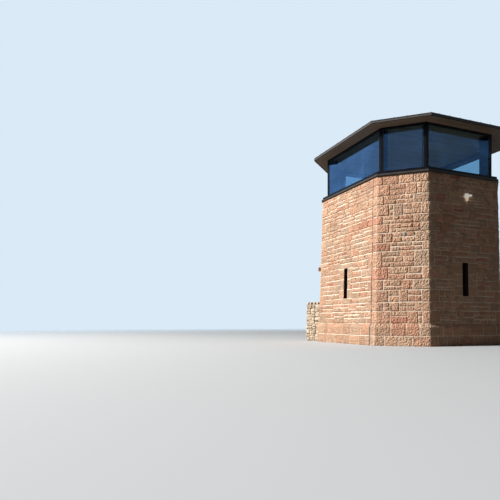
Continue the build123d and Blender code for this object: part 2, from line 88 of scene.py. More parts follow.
class Wire:
    """One output socket in a node tree. Arithmetic on wires adds the nodes that work it out."""

    def __init__(self, tree, socket=None):
        self.tree, self.socket = tree, socket

    def node(self, kind, *feeds, out=0, **named):
        """Add a node, its kind told without a prefix. feeds go to its inputs in order, and a
        capitalised name to the input of that name. A name in small letters is a setting."""
        prefix = "GeometryNode" if hasattr(bpy.types, "GeometryNode" + kind) else "ShaderNode"
        made = self.tree.nodes.new(kind if kind.startswith("NodeGroup") else prefix + kind)
        inputs = dict(enumerate(feeds))
        for name, value in named.items():
            if name[0].isupper():
                inputs[name.replace("_", " ")] = value
            else:
                setattr(made, name, value)
        for name, value in inputs.items():
            self.feed(made.inputs[name], value)
        return Wire(self.tree, made.outputs[out] if made.outputs else None)

    def feed(self, socket, value):
        """Give a socket a wire or a plain value. One number fills all parts of a colour or vector."""
        if isinstance(value, Wire):
            self.tree.links.new(value.socket, socket)
            return
        size = {"RGBA": 4, "VECTOR": 3}.get(socket.type)
        if size and isinstance(value, (int, float)):
            value = (value,) * 3
        if size == 4:
            value = (*value, 1.0)
        socket.default_value = value

    def out(self, name):
        """Another output of the same node."""
        return Wire(self.tree, self.socket.node.outputs[name])

    def mix(self, factor, first, second, operation="MIX"):
        """Two colours mixed. Sockets 6 and 7 are the colour pair of the Mix node."""
        mixed = self.node("Mix", factor, out=2, data_type="RGBA", blend_type=operation)
        for index, colour in ((6, first), (7, second)):
            self.feed(mixed.socket.node.inputs[index], colour)
        return mixed

    def combine(self, operation, first, second):
        kinds = {w.socket.type for w in (first, second) if isinstance(w, Wire)}
        if "RGBA" in kinds:
            return self.mix(1.0, first, second, operation)
        kind = "VectorMath" if "VECTOR" in kinds else "Math"
        return self.node(kind, first, second, operation=operation)

    __add__, __sub__, __mul__ = arithmetic("ADD"), arithmetic("SUBTRACT"), arithmetic("MULTIPLY")
    __gt__, __lt__ = arithmetic("GREATER_THAN"), arithmetic("LESS_THAN")
    power, least, most = arithmetic("POWER"), arithmetic("MINIMUM"), arithmetic("MAXIMUM")

    def __rsub__(self, other):
        return self.combine("SUBTRACT", other, self)

    def ramp(self, low, high, to_low=0.0, to_high=1.0):
        """The wire's value between low and high, spread smoothly over to_low to to_high."""
        limits = (low, high, to_low, to_high)
        return self.node("MapRange", self, *limits, interpolation_type="SMOOTHSTEP")

    def blend(self, first, second):
        """first where this mask is 0, second where it is 1."""
        return self.mix(self, first, second)

    def part(self, axis):
        """One of a vector's X, Y and Z."""
        return self.node("SeparateXYZ", self, out="XYZ".index(axis))

print("wire class ready")

# %% [markdown]
# ## How a finish is built
#
# Every finish here has three layers: a base colour, broad changes over it such as stains or
# weather, and a fine height pattern that only bends the light. They read the piece's own
# coordinates in metres, so a noise scale of 20 means features of about 5 cm on the real thing.
# A small class keeps the shader, those coordinates and the usual patterns together. Multiplying
# the coordinates by three numbers squeezes a pattern along the axis with the largest one.

# %% The finish class
class Finish:
    """A material in the making, with wires to the patterns it is built from."""

    def __init__(self, name):
        self.material = bpy.data.materials.new(name)
        self.material.use_nodes = True
        self.material.node_tree.nodes.clear()
        self.node = Wire(self.material.node_tree).node
        self.place = self.node("TexCoord", out="Object")

    def noise(self, scale, detail=3.0, roughness=0.5, where=None, distortion=0.0):
        sizes = {"Scale": scale, "Detail": detail, "Roughness": roughness, "Distortion": distortion}
        return self.node("TexNoise", Vector=where or self.place, **sizes)

    def cells(self, scale, feature="F1"):
        return self.node("TexVoronoi", feature=feature, Vector=self.place, Scale=scale)

    def told(self, name):
        """A number that the mesh carries for each stone or board."""
        return self.node("Attribute", attribute_name=name, out="Fac")

    def palette(self, factor, *stops):
        """The colour at factor along stops, each a place from 0 to 1 and its colour."""
        made = self.node("ValToRGB", factor)
        elements = made.socket.node.color_ramp.elements
        while len(elements) < len(stops):
            elements.new(1.0)
        for element, (place, colour) in zip(elements, stops):
            element.position, element.color = place, (*colour, 1.0)
        return made

    def bump(self, height, distance, strength=1.0, normal=None):
        below = {"Normal": normal} if normal else {}
        return self.node("Bump", Height=height, Distance=distance, Strength=strength, **below)

    def done(self, colour, roughness, normal, shine=0.5, **constants):
        """End with the Principled shader. The constants are set on the sockets of that name."""
        given = {"Normal": normal, "Specular_IOR_Level": shine, **constants}
        return self.end(self.node("BsdfPrincipled", Base_Color=colour, Roughness=roughness, **given))

    def end(self, shader):
        self.node("OutputMaterial", Surface=shader)
        return self.material

print("finish class ready")

# %% [markdown]
# ## Sandstone
#
# The blocks are a warm sandstone, mostly tan and peach, with a few pinker, orange and grey ones.
# Each block is one piece of rock, so its colour comes from numbers stored on its mesh, not from a
# texture that would run on across the joints. Over it lie the bedding bands of the rock, weather
# stains and grain. The drafted margins at the corners are cut smooth and look paler.

# %% Sandstone finish
def sandstone_finish(name, bedding=1.0):
    f = Finish(name)
    margin = f.told("margin")
    rock = f.palette(
        f.told("warmth"),
        (0.00, (0.40, 0.37, 0.36)),
        (0.006, (0.70, 0.50, 0.36)),
        (0.30, (0.79, 0.55, 0.39)),
        (0.65, (0.81, 0.51, 0.35)),
        (0.94, (0.79, 0.455, 0.31)),
        (0.97, (0.76, 0.38, 0.26)),
        (1.00, (0.66, 0.28, 0.20)),
    )
    beds = f.noise(7.0, 4.0, 0.55, f.place * (1.0, 1.0, 9.0), 0.4)
    grain = f.noise(170.0, 2.0, 0.7).ramp(0.25, 0.75, 0.90, 1.08)
    rock = rock * (f.told("tone") * 0.22 + 0.90) * beds.ramp(0.35, 0.7, 1.0 - 0.13 * bedding, 1.04)
    rock = rock * f.noise(5.0, 3.0, 0.6).ramp(0.3, 0.75, 0.86, 1.10) * grain
    # Small dark dots: painted shade of pits in the rock, which the relief doesn't have.
    pit_shade = f.cells(55.0).ramp(0.10, 0.22).ramp(0.0, 1.0)
    rock = pit_shade.blend((0.36, 0.22, 0.15), rock)
    rock = (margin * 0.5).blend(rock, (0.90, 0.68, 0.51))
    soot = f.noise(1.3, 4.0, 0.65).ramp(0.56, 0.80, 0.0, 0.20)
    rock = soot.blend(rock, (0.45, 0.33, 0.25))
    face = f.noise(13.0, 5.0, 0.62) + f.cells(21.0, "SMOOTH_F1") * -0.6
    carved = f.bump(face * (1.0 - margin * 0.8), 0.105)
    rough = f.bump(f.noise(260.0, 2.0, 0.8), 0.0016, 0.7, carved)
    return f.done(rock, grain * 0.12 + 0.80, rough, 0.25)


stone_finish = sandstone_finish("sandstone")
dressed_stone = sandstone_finish("dressed_sandstone", 0.6)
print("made", stone_finish.name)

# %% [markdown]
# ## The wall behind the stones
#
# The solid walls show in three places. Between the blocks they are the mortar, a wide joint left
# a little rough, pale where it was pointed again, mostly low down, and brown elsewhere. The brown is
# partly weathered mortar and partly painted shade in the joints. In the openings they are the
# reveals, coloured nearly black in the narrow slits as painted shade. Inside the tower they are
# limewashed plaster. One material can tell these apart by how deep a point lies behind the outer
# face of the shaft, worked out from the coordinates. The face isn't plumb: it has a batter, which
# means that the shaft is wider at its foot than at its head.

# %% Wall solids finish
HALF_X, HALF_Y, CORNER_CUT = 2.80, 3.30, 1.23  # the plan at the head of the walls
WALL_FOOT, WALL_HEAD, BATTER = 0.78, 5.995, 0.135
DIAGONAL = (HALF_X + HALF_Y - CORNER_CUT) / math.sqrt(2.0)
PLASTER_DEPTH = 0.255  # a little less than the least thickness of the wall
MORTAR_MIDDLE = 3.6  # below this height most joints are pale, and above it most are brown
DOORWAY_FROM = 2.7  # the reveals north of this y are the doorway's


def wall_outward(z):
    """How far the wall face stands out at a height, beyond the plan at its head."""
    return BATTER * min(1.0, (WALL_HEAD - z) / (WALL_HEAD - WALL_FOOT))


def depth_in_wall(f):
    """How far a point lies behind the battered wall face, in metres."""
    flat = f.node("VectorMath", f.place, operation="ABSOLUTE")
    x, y = flat.part("X"), flat.part("Y")
    over_corner = (x + y) * math.sqrt(0.5) - DIAGONAL
    beyond_head = (x - HALF_X).most(y - HALF_Y).most(over_corner)
    down = (WALL_HEAD - f.place.part("Z")) * (1.0 / (WALL_HEAD - WALL_FOOT))
    return down.least(1.0) * BATTER - beyond_head


def wall_finish(name):
    f = Finish(name)
    depth, above = depth_in_wall(f), f.place.part("Z") - MORTAR_MIDDLE
    # The brown end of this palette is partly weathered mortar and partly painted shade in the joints.
    mortar = f.palette(
        f.noise(1.6, 4.0, 0.7) - above * 0.028,
        (0.36, (0.46, 0.32, 0.23)),
        (0.42, (0.58, 0.42, 0.31)),
        (0.46, (0.96, 0.79, 0.62)),
        (0.56, (1.0, 0.92, 0.80)),
    )
    mortar = f.noise(120.0, 2.0, 0.8).ramp(0.3, 0.7, 0.86, 1.06) * mortar
    stain = f.noise(6.0, 4.0, 0.6, f.place * (1.0, 1.0, 3.0))
    # The slit reveals are nearly black: painted shade in the narrow openings.
    slit = f.palette(stain, (0.30, (0.028, 0.018, 0.014)), (0.70, (0.070, 0.046, 0.034)))
    doorway = f.palette(stain, (0.30, (0.50, 0.35, 0.25)), (0.70, (0.66, 0.46, 0.33)))
    reveal = (f.place.part("Y") > DOORWAY_FROM).blend(slit, doorway)
    limewash = f.noise(2.2, 4.0, 0.6)
    plaster = f.palette(limewash, (0.30, (0.66, 0.63, 0.57)), (0.75, (0.78, 0.76, 0.71)))
    colour = depth.ramp(0.004, 0.010).blend(mortar, reveal)
    colour = depth.ramp(PLASTER_DEPTH, PLASTER_DEPTH + 0.015).blend(colour, plaster)
    uneven = f.bump(f.noise(38.0, 4.0, 0.65), 0.010, 0.7)
    sand = f.bump(f.noise(420.0, 2.0, 0.8), 0.0012, 0.8, uneven)
    return f.done(colour, 0.92, sand, 0.2)


wall_core = wall_finish("mortar_and_reveals")
print("made", wall_core.name)

# %% [markdown]
# ## Setting out the stones
#
# The masonry is squared rubble brought to courses. Tall corner stones, or quoins, stand in lifts,
# and each one has a long leg on one face and a short leg on the next, turned about at every lift
# so that the corner is bonded. Between them each lift is filled with one to three thinner
# courses, whose upright joints don't line up. Stones are laid out in plain Python as rectangles,
# because bonding rules are easy to say there and hard to say in a node tree. Geometry Nodes then
# turn the flat rectangles into rock.

# %% The plan of the tower
FACES = "south southeast east northeast north northwest west southwest".split()
MITRE = math.tan(math.radians(22.5))
NEAR_X, NEAR_Y = HALF_X - CORNER_CUT, HALF_Y - CORNER_CUT
CORNERS = [  # anticlockwise from the west end of the south face
    (-NEAR_X, -HALF_Y), (NEAR_X, -HALF_Y), (HALF_X, -NEAR_Y), (HALF_X, NEAR_Y),
    (NEAR_X, HALF_Y), (-NEAR_X, HALF_Y), (-HALF_X, NEAR_Y), (-HALF_X, -NEAR_Y),
]


class Side:
    """One face of the plan: its middle, its direction to the right from outside, and outward."""

    def __init__(self, name):
        self.name, self.index = name, FACES.index(name)
        start, end = Vector(CORNERS[self.index]), Vector(CORNERS[(self.index + 1) % 8])
        self.half, self.middle = (end - start).length / 2, (start + end) / 2
        self.wide = self.half > 1.2
        self.along = (end - start).normalized()
        self.outward = Vector((self.along.y, -self.along.x))

    def point(self, a, outward=0.0):
        """The plan point a metres right of the middle. Near the corners it spreads as the face does."""
        spread = MITRE * outward * (a / self.half) ** 3
        return self.middle + self.along * (a + spread) + self.outward * outward

    def off(self, a, outward, z):
        """A point in space at height z, square off the face's plane."""
        return Vector((*(self.middle + self.along * a + self.outward * outward), z))

    def away(self, a):
        """The direction of relief there. On a corner it is the mitre of both faces."""
        if abs(a) > self.half - 1e-4:
            return self.outward + self.along * math.copysign(MITRE, a)
        return self.outward.copy()


sides = {name: Side(name) for name in FACES}
print({name: round(side.half * 2, 3) for name, side in sides.items()})

# %% [markdown]
# Levels of the lifts and courses were read off the narrow lit face, where the joints show best.
# A slit window starts on one bed joint and ends under another, as a mason would have it.

# %% Levels of lifts and courses
SLIT_HALF, SLIT_FOOT, SLIT_HEAD = 0.1375, 1.748, 2.928
LIFTS = [
    WALL_FOOT, 1.218, 1.527, 1.947, 2.308, 2.75, 3.312, 3.61, 3.96, 4.27, 4.56, 4.96, 5.27, 5.66, WALL_HEAD
]
COURSES = sorted(LIFTS + [
    1.03, 1.364, SLIT_FOOT, 2.09, 2.506, SLIT_HEAD, 3.12, 3.47, 3.80, 4.11, 4.40, 4.75, 5.11, 5.46
])
JOINT, ARRIS = 0.026, 0.006  # a bed joint, and the step back at the edge of an opening
DOOR_HALF, DOOR_HEAD, LINTEL_HALF, LINTEL_HEAD = 0.48, 2.23, 0.68, 2.47
print(len(LIFTS) - 1, "lifts,", len(COURSES) - 1, "courses")

# %% [markdown]
# A stone is kept as its corners on the face. The edges that meet a joint step back by half a
# joint, and an edge on an opening stays on the arris. Blocked areas (quoins, jambs, lintels and
# the openings) are placed first, and the courses fill what is left.

# %% Stones as rectangles
TOUCH, SLIVER = 0.01, 0.02  # overlaps and gaps too small to count
LEAST_WIDE, LEAST_HIGH = 0.08, 0.06  # the smallest stone that fills a step in the bed joints
TRIES, LONGEST, SHORTEST, BOND = 14, 0.60, 0.17, 0.07  # BOND: how far upright joints keep apart


class Block:
    """A rectangle on one face: a0 to a1 along it, z0 to z1 up it."""

    def __init__(self, a0, a1, z0, z1, kind="stone", arris=None, warmth=None):
        self.a0, self.a1, self.z0, self.z1 = a0, a1, z0, z1
        self.kind, self.arris, self.warmth = kind, arris, warmth

    def level_with(self, z0, z1):
        return self.z0 < z1 - TOUCH and z0 < self.z1 - TOUCH

    def meets(self, other):
        beside = self.a0 < other.a1 - TOUCH and other.a0 < self.a1 - TOUCH
        return beside and self.level_with(other.z0, other.z1)


def gaps_between(low, high, blocks):
    """The stretches from low to high that no block covers."""
    free, at = [], low
    for b in sorted(blocks, key=lambda b: b.a0):
        if min(b.a0, high) > at + SLIVER:
            free.append((at, min(b.a0, high)))
        at = max(at, b.a1)
    if high > at + SLIVER:
        free.append((at, high))
    return free


def split_course(low, high, height, below, rng):
    """Joints along one stretch of a course, kept off the joints of the course below."""
    length = high - low
    best, best_gap = [low, high], -1.0
    for _ in range(TRIES):
        count = max(1, round(length / (height * rng.uniform(1.5, 2.4) + 0.04)))
        while length / count > LONGEST:
            count += 1
        while count > 1 and length / count < SHORTEST:
            count -= 1
        weights = [rng.uniform(0.6, 1.5) for _ in range(count)]
        at, joints = low, [low]
        for weight in weights:
            at += length * weight / sum(weights)
            joints.append(at)
        joints[-1] = high
        gap = min((abs(j - k) for j in joints[1:-1] for k in below), default=1.0)
        if gap > best_gap:
            best, best_gap = joints, gap
        if gap > BOND:
            break
    return best


def lay_courses(low, high, levels, blocked, rng):
    """Fill a face from low to high with coursed stones, round what is already there."""
    stones, below = [], []
    for z0, z1 in zip(levels, levels[1:]):
        in_row = [b for b in blocked if b.level_with(z0, z1)]
        inner = {z for b in in_row for z in (b.z0, b.z1)}
        cuts = sorted({z0, z1} | {z for z in inner if min(z - z0, z1 - z) > LEAST_HIGH / 2})
        joints = []
        for a0, a1 in gaps_between(low, high, in_row):
            edges = split_course(a0, a1, z1 - z0, below, rng)
            joints += edges
            stones += [Block(e0, e1, z0, z1) for e0, e1 in zip(edges, edges[1:])]
        for c0, c1 in zip(cuts, cuts[1:]) if len(cuts) > 2 else ():
            band = [b for b in in_row if b.level_with(c0, c1)] + [s for s in stones if s.z0 == z0]
            stones += [
                Block(a0, a1, c0, c1)
                for a0, a1 in gaps_between(low, high, band)
                if a1 - a0 > LEAST_WIDE and c1 - c0 > LEAST_HIGH
            ]
        below = joints
    return stones

print("layout functions ready")

# %% [markdown]
# The quoins of all eight corners follow one rule. In every other lift the long leg lies on the
# face after the corner, and in the lifts between on the face before it.

# %% Quoins and openings
def quoin_legs():
    """For each corner and lift, the length of its leg on the face before and the face after."""
    rng = random.Random(4)
    legs = {}
    for corner in range(8):
        for lift in range(len(LIFTS) - 1):
            long, short = rng.uniform(0.40, 0.52), rng.uniform(0.20, 0.28)
            legs[corner, lift] = (short, long) if lift % 2 == 0 else (long, short)
    return legs


LEGS = quoin_legs()
SLIT_JAMBS = ((0.36, SLIT_FOOT, 2.09), (0.24, 2.09, 2.506), (0.38, 2.506, SLIT_HEAD))
DOOR_JAMBS = ((0.34, WALL_FOOT, 1.218), (0.22, 1.218, 1.527), (0.36, 1.527, 1.947), (0.23, 1.947, DOOR_HEAD))


def openings_on(side):
    """Dressed stones and openings of a face, as blocks. An opening has no stone."""
    if side.name == "southwest":
        return [Block(0.02, 0.15, 3.80, 3.96, warmth=0.0001)]  # one small grey stone
    if side.name == "north":
        half, jambs = DOOR_HALF, DOOR_JAMBS
        blocks = [
            Block(-half, half, WALL_FOOT, DOOR_HEAD, "opening"),
            Block(-LINTEL_HALF, LINTEL_HALF, DOOR_HEAD, LINTEL_HEAD, "dressed", "foot"),
        ]
    elif side.wide:
        half, jambs = SLIT_HALF, SLIT_JAMBS
        blocks = [
            Block(-half, half, SLIT_FOOT, SLIT_HEAD, "opening"),
            Block(-0.31, 0.31, 1.527, SLIT_FOOT, "dressed", "top"),
            Block(-0.40, 0.40, SLIT_HEAD, 3.12, "dressed", "foot"),
        ]
    else:
        return []
    for reach, z0, z1 in jambs:
        blocks.append(Block(-half - reach, -half, z0, z1, "dressed", "right"))
        blocks.append(Block(half, half + reach, z0, z1, "dressed", "left"))
    return blocks


def levels_on(side, z0, z1):
    """Bed joints of a face from z0 to z1. Round the doorway they follow its lintel."""
    levels = COURSES
    if side.name == "north":
        kept = [z for z in COURSES if z not in (2.308, 2.506)]
        levels = sorted(kept + [DOOR_HEAD, LINTEL_HEAD, 2.61])
    return [z for z in levels if z0 <= z <= z1]


def stretches_of(side, z0, z1, rng):
    """One lift of a face as stretches, each with its own courses. Beside an opening they are given."""
    given = levels_on(side, z0, z1)
    if not side.wide:
        return [(-side.half, side.half, given)]
    beside = [max(-b.a0, b.a1) for b in openings_on(side) if b.z0 < z1 and b.z1 > z0]
    near = max(beside, default=0.0)
    ranges = [(-side.half, -near), (near, side.half)] if near else [(-side.half, side.half)]
    stretches = [(-near, near, given)] if near else []
    for low, high in ranges:
        while low < high:
            end = low + rng.uniform(0.55, 1.35)
            if end > high - 0.45:
                end = high
            count = max(1, min(3, round((z1 - z0) / rng.uniform(0.12, 0.26))))
            shares = [rng.uniform(0.7, 1.5) for _ in range(count)]
            levels = [z0 + (z1 - z0) * sum(shares[:k]) / sum(shares) for k in range(count)]
            stretches.append((low, end, levels + [z1]))
            low = end
    return stretches

print("quoins:", len(LEGS))

# %% [markdown]
# Fittings that are fixed to the wall need a flat bed. Round them the relief of the rock is held
# back, as a mason would dress the stone there. The same goes for the course under the metal
# coping and for the strip that the conductor tape runs down.

# %% Where the rock is dressed flat
TAPE_A, TAPE_STRIP = sides["west"].half - 0.23, 0.09  # its middle along the face, and half the strip
UNDER_COPING = 5.955
FLAT_SPOTS = [  # face, middle along it, height, half width, half height
    ("south", 0.073, 5.25, 0.12, 0.19),
    ("south", 0.232, 5.32, 0.08, 0.08),
    ("northwest", 0.56, 3.24, 0.12, 0.12),
]


def roughness_at(side, a, z):
    """1 where the rock keeps its full relief, less where it is dressed."""
    for name, spot_a, spot_z, half_a, half_z in FLAT_SPOTS:
        if side.name == name and abs(a - spot_a) < half_a and abs(z - spot_z) < half_z:
            return 0.0
    if side.name == "west" and abs(a - TAPE_A) < TAPE_STRIP:
        return 0.45
    return 0.5 if z > UNDER_COPING else 1.0


# %% Patches, one for each stone
def linked(name, mesh, finish=None):
    """A mesh as a piece of the scene."""
    if finish:
        mesh.materials.append(finish)
    piece = bpy.data.objects.new(name, mesh)
    bpy.context.scene.collection.objects.link(piece)
    return piece


def from_work(name, work, finish):
    """A piece from a mesh in the making."""
    mesh = bpy.data.meshes.new(name)
    work.to_mesh(mesh)
    work.free()
    return linked(name, mesh, finish)


def plain_piece(name, points, faces, edges=(), **numbers):
    """A piece from points and faces. Its points keep the numbers, for nodes to read."""
    mesh = bpy.data.meshes.new(name)
    mesh.from_pydata(points, edges, faces)
    for label, values in numbers.items():
        mesh.attributes.new(label, "FLOAT", "POINT").data.foreach_set("value", values)
    return linked(name, mesh)


class Patches:
    """Flat patches of small cells, one for each stone, with the numbers that the relief needs."""

    def __init__(self):
        self.points, self.faces, self.away, self.numbers, self.count = [], [], [], {}, 0

    def add(self, columns, rows, facts):
        """Lay one stone, a grid of points where its columns cross its rows."""
        base, wide, high = len(self.points), len(columns), len(rows)
        for r, row in enumerate(rows):
            for c, column in enumerate(columns):
                point, away, rough, margin = column(row)
                self.points.append(point)
                self.away += away
                edge = 1.0 if 0 < r < high - 1 and 0 < c < wide - 1 else 0.0
                numbers = {**facts, "edge": edge, "rough": rough * facts["rough"], "margin": margin}
                for name, value in numbers.items():
                    self.numbers.setdefault(name, []).append(value)
        for r in range(high - 1):
            for i in range(base + r * wide, base + r * wide + wide - 1):
                self.faces.append((i, i + 1, i + wide + 1, i + wide))
        self.count += 1

    def make(self, name):
        piece = plain_piece(name, self.points, self.faces, **self.numbers)
        away = piece.data.attributes.new("away", "FLOAT_VECTOR", "POINT")
        away.data.foreach_set("vector", self.away)
        return piece


CELL, LIP = 0.09, 0.022
STRAIGHT_OUT = (1.0, 0.0)  # how far relief points outward, and how far up


def ladder(low, high):
    """Stations from low to high: a narrow cell at each end for the arris, even ones between."""
    if high - low < 3 * LIP:
        return [low, (low + high) / 2, high]
    inner = max(1, round((high - low - 2 * LIP) / CELL))
    step = (high - low - 2 * LIP) / inner
    return [low] + [low + LIP + step * i for i in range(inner + 1)] + [high]


def rows_up(z0, z1, outward_at):
    """Rows up a face: the height, how far out the face is there, and the way of the relief."""
    return [(z, outward_at(z), STRAIGHT_OUT) for z in ladder(z0, z1)]


def column(side, a, margin=0.0):
    """The points of all rows that lie a metres right of the middle of a face."""
    away = side.away(a)

    def at(row):
        z, outward, (out, up) = row
        plan = side.point(a, outward)
        return (plan.x, plan.y, z), (away.x * out, away.y * out, up), roughness_at(side, a, z), margin

    return at


def stone_facts(rng, **extra):
    facts = {
        "tone": rng.random(),
        "warmth": rng.uniform(0.02, 1.0 if rng.random() < 0.3 else 0.96),
        "proud": rng.uniform(0.010, 0.026),
        "rough": 1.0,
    }
    return {**facts, **extra}

print("patch builder ready")

# %% [markdown]
# Each face of the shaft becomes one piece. A quoin is laid with the face after its corner, and
# its patch folds round the arris, so that no joint runs up the corner.

# %% Lay the stones of a face
DRAFT = 0.032  # width of the smooth margin beside a corner
LIT_CORNER, RED_LIFTS = 7, (4, 6, 9)  # between west and southwest, with its three reddest stones


def lay_block(patches, side, b, rng):
    inset = {}
    for edge, joint in (("left", 0.7), ("right", 0.7), ("foot", 1.0), ("top", 1.0)):
        inset[edge] = JOINT / 2 * joint + rng.uniform(-0.006, 0.010)
    if b.arris:
        inset[b.arris] = ARRIS
    facts = stone_facts(rng)
    if side.name == "southwest":  # the narrow lit face has few pale stones
        facts["warmth"] = facts["warmth"] * 0.62 + 0.36
    if b.kind == "dressed":
        facts.update(rough=0.5, proud=0.008, warmth=rng.uniform(0.1, 0.6))
    if b.warmth:
        facts["warmth"] = b.warmth
    columns = [column(side, a) for a in ladder(b.a0 + inset["left"], b.a1 - inset["right"])]
    patches.add(columns, rows_up(b.z0 + inset["foot"], b.z1 - inset["top"], wall_outward), facts)


def faces_at(corner):
    """The faces before and after a corner."""
    return sides[FACES[corner - 1]], sides[FACES[corner]]


def corner_columns(corner, leg_before, leg_after, draft_margin, corner_margin):
    """Columns of a stone that folds round a corner, from the face before it to the face after."""
    before, after = faces_at(corner)
    left = ladder(before.half - leg_before + JOINT / 2, before.half - DRAFT)
    right = ladder(DRAFT - after.half, leg_after - after.half - JOINT / 2)
    columns = [column(before, a) for a in left[:-1]]
    columns.append(column(before, left[-1], draft_margin))
    columns.append(column(before, before.half, corner_margin))
    columns.append(column(after, right[0], draft_margin))
    return columns + [column(after, a) for a in right[1:]]


def lay_quoin(patches, corner, lift, rng):
    lit = corner == LIT_CORNER
    warmth = rng.uniform(0.60, 0.955) if lit else rng.uniform(0.05, 0.93)
    if lit and lift in RED_LIFTS:
        warmth = 0.965
    rows = rows_up(LIFTS[lift] + JOINT / 2, LIFTS[lift + 1] - JOINT / 2, wall_outward)
    columns = corner_columns(corner, *LEGS[corner, lift], 0.3, 0.6)
    patches.add(columns, rows, stone_facts(rng, warmth=warmth))


def jumper_in(side, z0, z1, blocked, rng):
    """Now and then one stone of a narrow face runs through two courses."""
    inside = levels_on(side, z0, z1)
    if side.wide or len(inside) < 3:
        return []
    k = rng.randrange(len(inside) - 2)
    wide = rng.uniform(0.26, 0.42)
    a0 = rng.uniform(-side.half, side.half - wide)
    jumper = Block(a0, a0 + wide, inside[k], inside[k + 2])
    return [] if any(jumper.meets(b) for b in blocked) else [jumper]


def stones_of(side):
    rng = random.Random(100 + side.index)
    patches, blocked = Patches(), openings_on(side)
    lifts = list(enumerate(zip(LIFTS, LIFTS[1:])))
    for lift, (z0, z1) in lifts:
        start, end = LEGS[side.index, lift][1], LEGS[(side.index + 1) % 8, lift][0]
        blocked.append(Block(-side.half, start - side.half, z0, z1, "quoin"))
        blocked.append(Block(side.half - end, side.half, z0, z1, "quoin"))
    for _, (z0, z1) in lifts:
        blocked += jumper_in(side, z0, z1, blocked, rng)
    for b in blocked:
        if b.kind in ("stone", "dressed"):
            lay_block(patches, side, b, rng)
    for lift, (z0, z1) in lifts:
        for low, high, levels in stretches_of(side, z0, z1, rng):
            for b in lay_courses(low, high, levels, blocked, rng):
                lay_block(patches, side, b, rng)
        lay_quoin(patches, side.index, lift, rng)
    return patches


stone_patches = {name: stones_of(side) for name, side in sides.items()}
print({name: p.count for name, p in stone_patches.items()})

# %% [markdown]
# ## From rectangles to rock
#
# Every stone needs the same treatment: a finer mesh, slightly wandering edges, a thickness that
# goes back into the mortar, and a face that swells from a thin lip to a rough belly. That is a
# rule, so Geometry Nodes apply it to all stones of a face at once. The tree's inputs are real
# sizes in metres, and a seed that moves its noise.

# %% Helpers for Geometry Nodes trees
def growth_tree(name, **sizes):
    """A new tree with an input for each size. Gives a wire to start from and one for the inputs."""
    tree = bpy.data.node_groups.new(name, "GeometryNodeTree")
    kinds = {"geometry": "Geometry", "finish": "Material"}
    for label in ("geometry", "finish", *sizes):
        kind = "NodeSocket" + kinds.get(label, "Float")
        socket = tree.interface.new_socket(label, in_out="INPUT", socket_type=kind)
        if label in sizes:
            socket.default_value = sizes[label]
    tree.interface.new_socket("geometry", in_out="OUTPUT", socket_type="NodeSocketGeometry")
    start = Wire(tree)
    return start, start.node("NodeGroupInput")


def end_tree(start, geometry, given):
    painted = start.node("SetMaterial", Geometry=geometry, Material=given.out("finish"))
    start.node("NodeGroupOutput", painted)
    return start.tree


def lumps(start, place, scale, detail, out=0):
    """A noise for relief: a number, or three as a colour."""
    return start.node("TexNoise", Vector=place, Scale=scale, Detail=detail, out=out)


def grow(piece, tree, finish, **sizes):
    """Run a tree on a piece and keep the result as its plain mesh."""
    modifier = piece.modifiers.new(tree.name, "NODES")
    modifier.node_group = tree
    given = {"finish": finish, **sizes}
    for item in tree.interface.items_tree:
        if item.name in given:
            modifier[item.identifier] = given[item.name]
    graph = bpy.context.evaluated_depsgraph_get()
    mesh = bpy.data.meshes.new_from_object(
        piece.evaluated_get(graph), preserve_all_data_layers=True, depsgraph=graph
    )
    piece.modifiers.remove(modifier)
    flat = piece.data
    piece.data = mesh
    bpy.data.meshes.remove(flat)
    mesh.name = piece.name
    return piece


def closed(piece):
    """Fill the open ends of a piece with flat faces, and turn all faces outward."""
    work = bmesh.new()
    work.from_mesh(piece.data)
    bmesh.ops.holes_fill(work, edges=[e for e in work.edges if e.is_boundary], sides=0)
    bmesh.ops.recalc_face_normals(work, faces=work.faces)
    work.to_mesh(piece.data)
    work.free()
    return piece


def place_piece(piece):
    """Fix a piece to the tower, and say how large its mesh is."""
    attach(piece, "root")
    print(piece.name, sum(len(p.vertices) - 2 for p in piece.data.polygons), "triangles")
    return piece

print("growth helpers ready")


# %% The rock face tree
def rock_tree():
    start, given = growth_tree("rock_face", sunk=0.012, chip=0.020, wander=0.022, seed=1.0)
    node, sunk = start.node, given.out("sunk")
    lip, crisp_angle = 0.008, 0.6
    fine = node("SubdivideMesh", given, 1)
    place = node("InputPosition") + given.out("seed") * 3.7
    sway = (lumps(start, place, 7.0, 2.0, "Color") - 0.5) * given.out("wander")
    loose = node("SetPosition", Geometry=fine, Offset=sway)
    away = node("InputNamedAttribute", data_type="FLOAT_VECTOR", Name="away")
    back = node("SetPosition", Geometry=loose, Offset=away * (sunk * -1.0))
    thick = node("ExtrudeMesh", Mesh=back, Offset_Scale=0.0, Individual=False)
    proud, rough, margin, edge = [
        node("InputNamedAttribute", data_type="FLOAT", Name=name)
        for name in ("proud", "rough", "margin", "edge")
    ]
    chips = (lumps(start, place, 8.0, 3.0) - 0.5) * 2.0 * given.out("chip")
    relief = (proud * (lumps(start, place, 3.5, 1.0) * 1.2 + 0.4) + chips) * rough
    relief = relief * (1.0 - margin * 0.7)
    height = relief.most(0.0) * edge + lip + sunk
    rock = node("SetPosition", Geometry=thick, Selection=thick.out("Top"), Offset=away * height)
    soft = node("SetShadeSmooth", rock)
    turn = node("InputMeshEdgeAngle", out="Unsigned Angle") > crisp_angle
    crisp = node("SetShadeSmooth", domain="EDGE", Geometry=soft, Selection=turn, Shade_Smooth=False)
    return end_tree(start, crisp, given)


rock_face = rock_tree()


def set_stones(name, patches, finish, slot, **sizes):
    """Turn a layout of patches into stones with flat backs."""
    print(name, patches.count, "stones")
    return place_piece(closed(grow(patches.make(name), rock_face, finish, **sizes)))


for name, patches in stone_patches.items():
    set_stones(name + "_stones", patches, stone_finish, "sandstone", seed=float(sides[name].index))

# %% [markdown]
# ## The plinth
#
# The foot of the shaft is thicker, and its top slopes back to shed rain. Two courses of larger
# stones face it. The upper one carries the slope, so its patch bends over the edge: the rows of
# the patch follow the profile, and their direction of relief turns with it.

